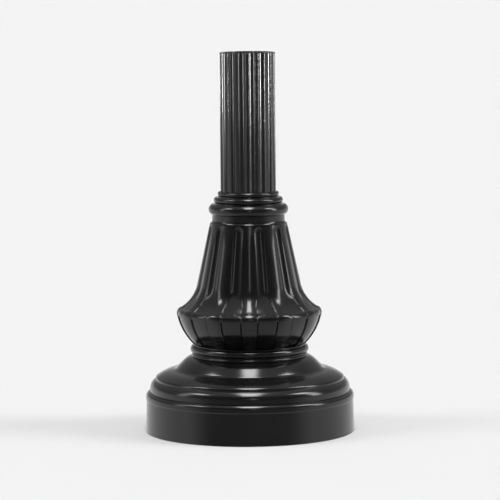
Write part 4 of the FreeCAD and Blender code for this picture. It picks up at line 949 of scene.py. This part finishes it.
def make_materials():
    materials = {name: surface(name, *look, metallic=1.0) for name, look in METALS.items()}
    materials.update({name: surface(name, *look) for name, look in PLASTICS.items()})
    materials["galvanised"] = surface(
        "galvanised", *GALVANISED, metallic=1.0, grain=300.0, relief=0.0003, blotch=60.0
    )
    materials["post_paint"] = post_paint()
    return materials


def dress(materials):
    """Gives every carried-over CAD node the material of its slot."""
    slots = {entry["node"]: entry["material_slot"] for entry in frame["record"]["subparts"]}
    for node, obj in frame["nodes"].items():
        obj.data.materials.clear()
        obj.data.materials.append(materials[slots[node]])


def paint(obj, materials, body):
    obj.data.materials.clear()
    obj.data.materials.append(materials["post_paint"])
    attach(obj, body)


# Studio: a pale floor in a dim room. Lengths are in metres here, and azimuths are counted from the
# front towards +X

# The floor's sides, its range of tones and the light that it gives by itself
FLOOR_LEFT = -40.0
FLOOR_RIGHT = 40.0
FLOOR_BEGIN = -20.0
FLOOR_END = 90.0
FLOOR_TONES = (0.568, 0.572)
FLOOR_GLOW = 0.05
# Brightness of the surroundings: the ground close by, ahead and at the sides, the walls and the ceiling
GROUND_NEAR = 0.6
GROUND_FRONT = 0.22
GROUND_SIDES = 0.9
WALL_FRONT = 0.08
WALL_SIDES = 0.3
CEILING = 0.5
# Azimuths between which the sides turn into the front
SIDES_END = 75.0
FRONT_BEGINS = 38.0
# Heights, as the upward part of a direction, over which one tone turns into the next
NEAR_TO_FRONT = (-0.65, -0.25)
GROUND_TO_WALL = (0.0, 0.2)
WALL_TO_CEILING = (0.6, 0.85)
# Soft rectangles of light: azimuth, elevation, width and height in degrees, and brightness
SOFTBOXES = (
    (0.0, 77.0, 14.0, 42.0, 13.0),
    (4.0, 18.0, 5.0, 16.0, 2.2),
    (84.0, 28.0, 12.0, 36.0, 7.0),
    (-86.0, 28.0, 12.0, 36.0, 2.5),
    (79.0, 49.0, 15.0, 11.0, 10.0),
    (-79.0, 49.0, 15.0, 11.0, 10.0),
)
# Share of a softbox's half width over which its edge fades, inwards and outwards
SOFT_EDGE = 0.3
# Upright strip lamps that light the shaft alone: azimuth, width and power, then what they share
STRIPS = ((66.0, 0.14, 36.0), (-30.0, 0.1, 10.0), (-136.0, 0.3, 50.0))
STRIP_LENGTH = 0.4
STRIP_DISTANCE = 2.4
STRIP_HEIGHT = 0.72

CAMERA_PLACE = (0.0026, -6.0, 1.0)
CAMERA_LENS = 211.9
CAMERA_DOWN = 5.976
CAMERA_ROLL = -0.48


def make_floor():
    material, nodes, links = new_material("floor")
    shader = nodes["Principled BSDF"]
    grain = noise(nodes, links, 3.0)
    dark, light = [(tone, tone, tone) for tone in FLOOR_TONES]
    colour = coloured(nodes, links, grain, dark, light)
    links.new(colour.outputs["Color"], shader.inputs["Base Color"])
    shader.inputs["Roughness"].default_value = 0.9
    shader.inputs["Specular IOR Level"].default_value = 0.0
    shader.inputs["Emission Color"].default_value = (1.0, 1.0, 1.0, 1)
    shader.inputs["Emission Strength"].default_value = FLOOR_GLOW
    mesh = bpy.data.meshes.new("floor")
    front = [(FLOOR_LEFT, FLOOR_BEGIN, 0), (FLOOR_RIGHT, FLOOR_BEGIN, 0)]
    back = [(FLOOR_RIGHT, FLOOR_END, 0), (FLOOR_LEFT, FLOOR_END, 0)]
    mesh.from_pydata(front + back, [], [(0, 1, 2, 3)])
    obj = bpy.data.objects.new("floor", mesh)
    bpy.context.scene.collection.objects.link(obj)
    mesh.materials.append(material)
    obj.visible_glossy = False


def connect(tree, socket, value):
    """Sets a socket to a number, or links a node's output to it."""
    if isinstance(value, (int, float)):
        socket.default_value = value
    else:
        tree.links.new(value, socket)


def maths(tree, operation, first, second=0.0):
    """A sum, product or other working of two numbers or node outputs."""
    node = tree.nodes.new("ShaderNodeMath")
    node.operation = operation
    connect(tree, node.inputs[0], first)
    connect(tree, node.inputs[1], second)
    return node.outputs["Value"]


def mixed(tree, first, first_share, second, second_share):
    """The sum of two outputs, each times a number."""
    one = maths(tree, "MULTIPLY", first, first_share)
    other = maths(tree, "MULTIPLY", second, second_share)
    return maths(tree, "ADD", one, other)


def eased(tree, value, limits, low, high):
    """A smooth step from low to high while the value goes from one limit to the other."""
    node = tree.nodes.new("ShaderNodeMapRange")
    node.interpolation_type = "SMOOTHSTEP"
    names = ("Value", "From Min", "From Max", "To Min", "To Max")
    for name, reading in zip(names, (value, *limits, low, high)):
        connect(tree, node.inputs[name], reading)
    return node.outputs["Result"]


def softbox(tree, direction, azimuth, elevation, width, height, strength):
    """A bright rectangle of the surroundings, with soft edges."""
    x, y, z = direction
    turn = math.radians(azimuth)
    rise = math.radians(elevation)
    to_side = mixed(tree, x, math.cos(turn), y, math.sin(turn))
    out = mixed(tree, x, math.sin(turn), y, -math.cos(turn))
    ahead = mixed(tree, out, math.cos(rise), z, math.sin(rise))
    up = mixed(tree, z, math.cos(rise), out, -math.sin(rise))
    glow = strength
    for offset, half in ((to_side, width / 2), (up, height / 2)):
        edge = math.sin(math.radians(half))
        limits = (edge * (1 - SOFT_EDGE), edge * (1 + SOFT_EDGE))
        glow = eased(tree, maths(tree, "ABSOLUTE", offset), limits, glow, 0.0)
    return maths(tree, "MULTIPLY", glow, maths(tree, "GREATER_THAN", ahead, 0.0))


def make_world():
    """The surroundings are a tone for each direction, so they light the floor evenly."""
    world = bpy.data.worlds.new("studio")
    world.use_nodes = True
    tree = world.node_tree
    where = tree.nodes.new("ShaderNodeTexCoord")
    split = tree.nodes.new("ShaderNodeSeparateXYZ")
    tree.links.new(where.outputs["Generated"], split.inputs["Vector"])
    x, y, z = (split.outputs[name] for name in ("X", "Y", "Z"))
    squares = maths(tree, "ADD", maths(tree, "MULTIPLY", x, x), maths(tree, "MULTIPLY", y, y))
    # The level part of the direction, never nought, because it divides
    level = maths(tree, "MAXIMUM", maths(tree, "SQRT", squares), 0.001)
    facing = maths(tree, "DIVIDE", maths(tree, "MULTIPLY", y, -1.0), level)
    turn = [math.cos(math.radians(azimuth)) for azimuth in (SIDES_END, FRONT_BEGINS)]
    ahead = eased(tree, z, NEAR_TO_FRONT, GROUND_NEAR, GROUND_FRONT)
    ground = eased(tree, facing, turn, GROUND_SIDES, ahead)
    walls = eased(tree, facing, turn, WALL_SIDES, WALL_FRONT)
    room = eased(tree, z, GROUND_TO_WALL, ground, walls)
    light = eased(tree, z, WALL_TO_CEILING, room, CEILING)
    for box in SOFTBOXES:
        light = maths(tree, "ADD", light, softbox(tree, (x, y, z), *box))
    tree.links.new(light, tree.nodes["Background"].inputs["Strength"])
    tree.nodes["Background"].inputs["Color"].default_value = (1.0, 1.0, 1.0, 1)
    bpy.context.scene.world = world


def make_strips():
    """The strip lamps draw the bright lines along the shaft's flutes, stronger at its top."""
    lit = bpy.data.collections.new("lit_by_strips")
    lit.objects.link(bpy.data.objects["shaft_skin"])
    for number, (azimuth, width, power) in enumerate(STRIPS):
        lamp = bpy.data.lights.new("strip_%d" % number, "AREA")
        lamp.shape = "RECTANGLE"
        lamp.size = width
        lamp.size_y = STRIP_LENGTH
        lamp.energy = power
        obj = bpy.data.objects.new(lamp.name, lamp)
        turn = math.radians(azimuth)
        obj.location = (STRIP_DISTANCE * math.sin(turn), -STRIP_DISTANCE * math.cos(turn), STRIP_HEIGHT)
        obj.rotation_euler = (math.radians(90), 0, turn)
        bpy.context.scene.collection.objects.link(obj)
        obj.light_linking.receiver_collection = lit


def make_camera():
    data = bpy.data.cameras.new("camera")
    data.sensor_width = 36.0
    data.lens = CAMERA_LENS
    data.clip_end = 300.0
    camera = bpy.data.objects.new("camera", data)
    camera.location = CAMERA_PLACE
    tilt = Matrix.Rotation(math.radians(90 - CAMERA_DOWN), 4, "X")
    roll = Matrix.Rotation(math.radians(CAMERA_ROLL), 4, "Z")
    camera.rotation_euler = (tilt @ roll).to_euler()
    bpy.context.scene.collection.objects.link(camera)
    bpy.context.scene.camera = camera


def build():
    materials = make_materials()
    dress(materials)
    castings = [make_skirt(), make_dome(), make_neck(), make_collar(), cut_hand_hole(make_shaft())]
    bell, door = part_door_and_bell(make_bell())
    for obj in castings + [bell]:
        paint(obj, materials, "post")
    paint(door, materials, "door")
    make_floor()
    make_world()
    make_strips()
    make_camera()
    bpy.context.scene.view_settings.view_transform = "Standard"


build()
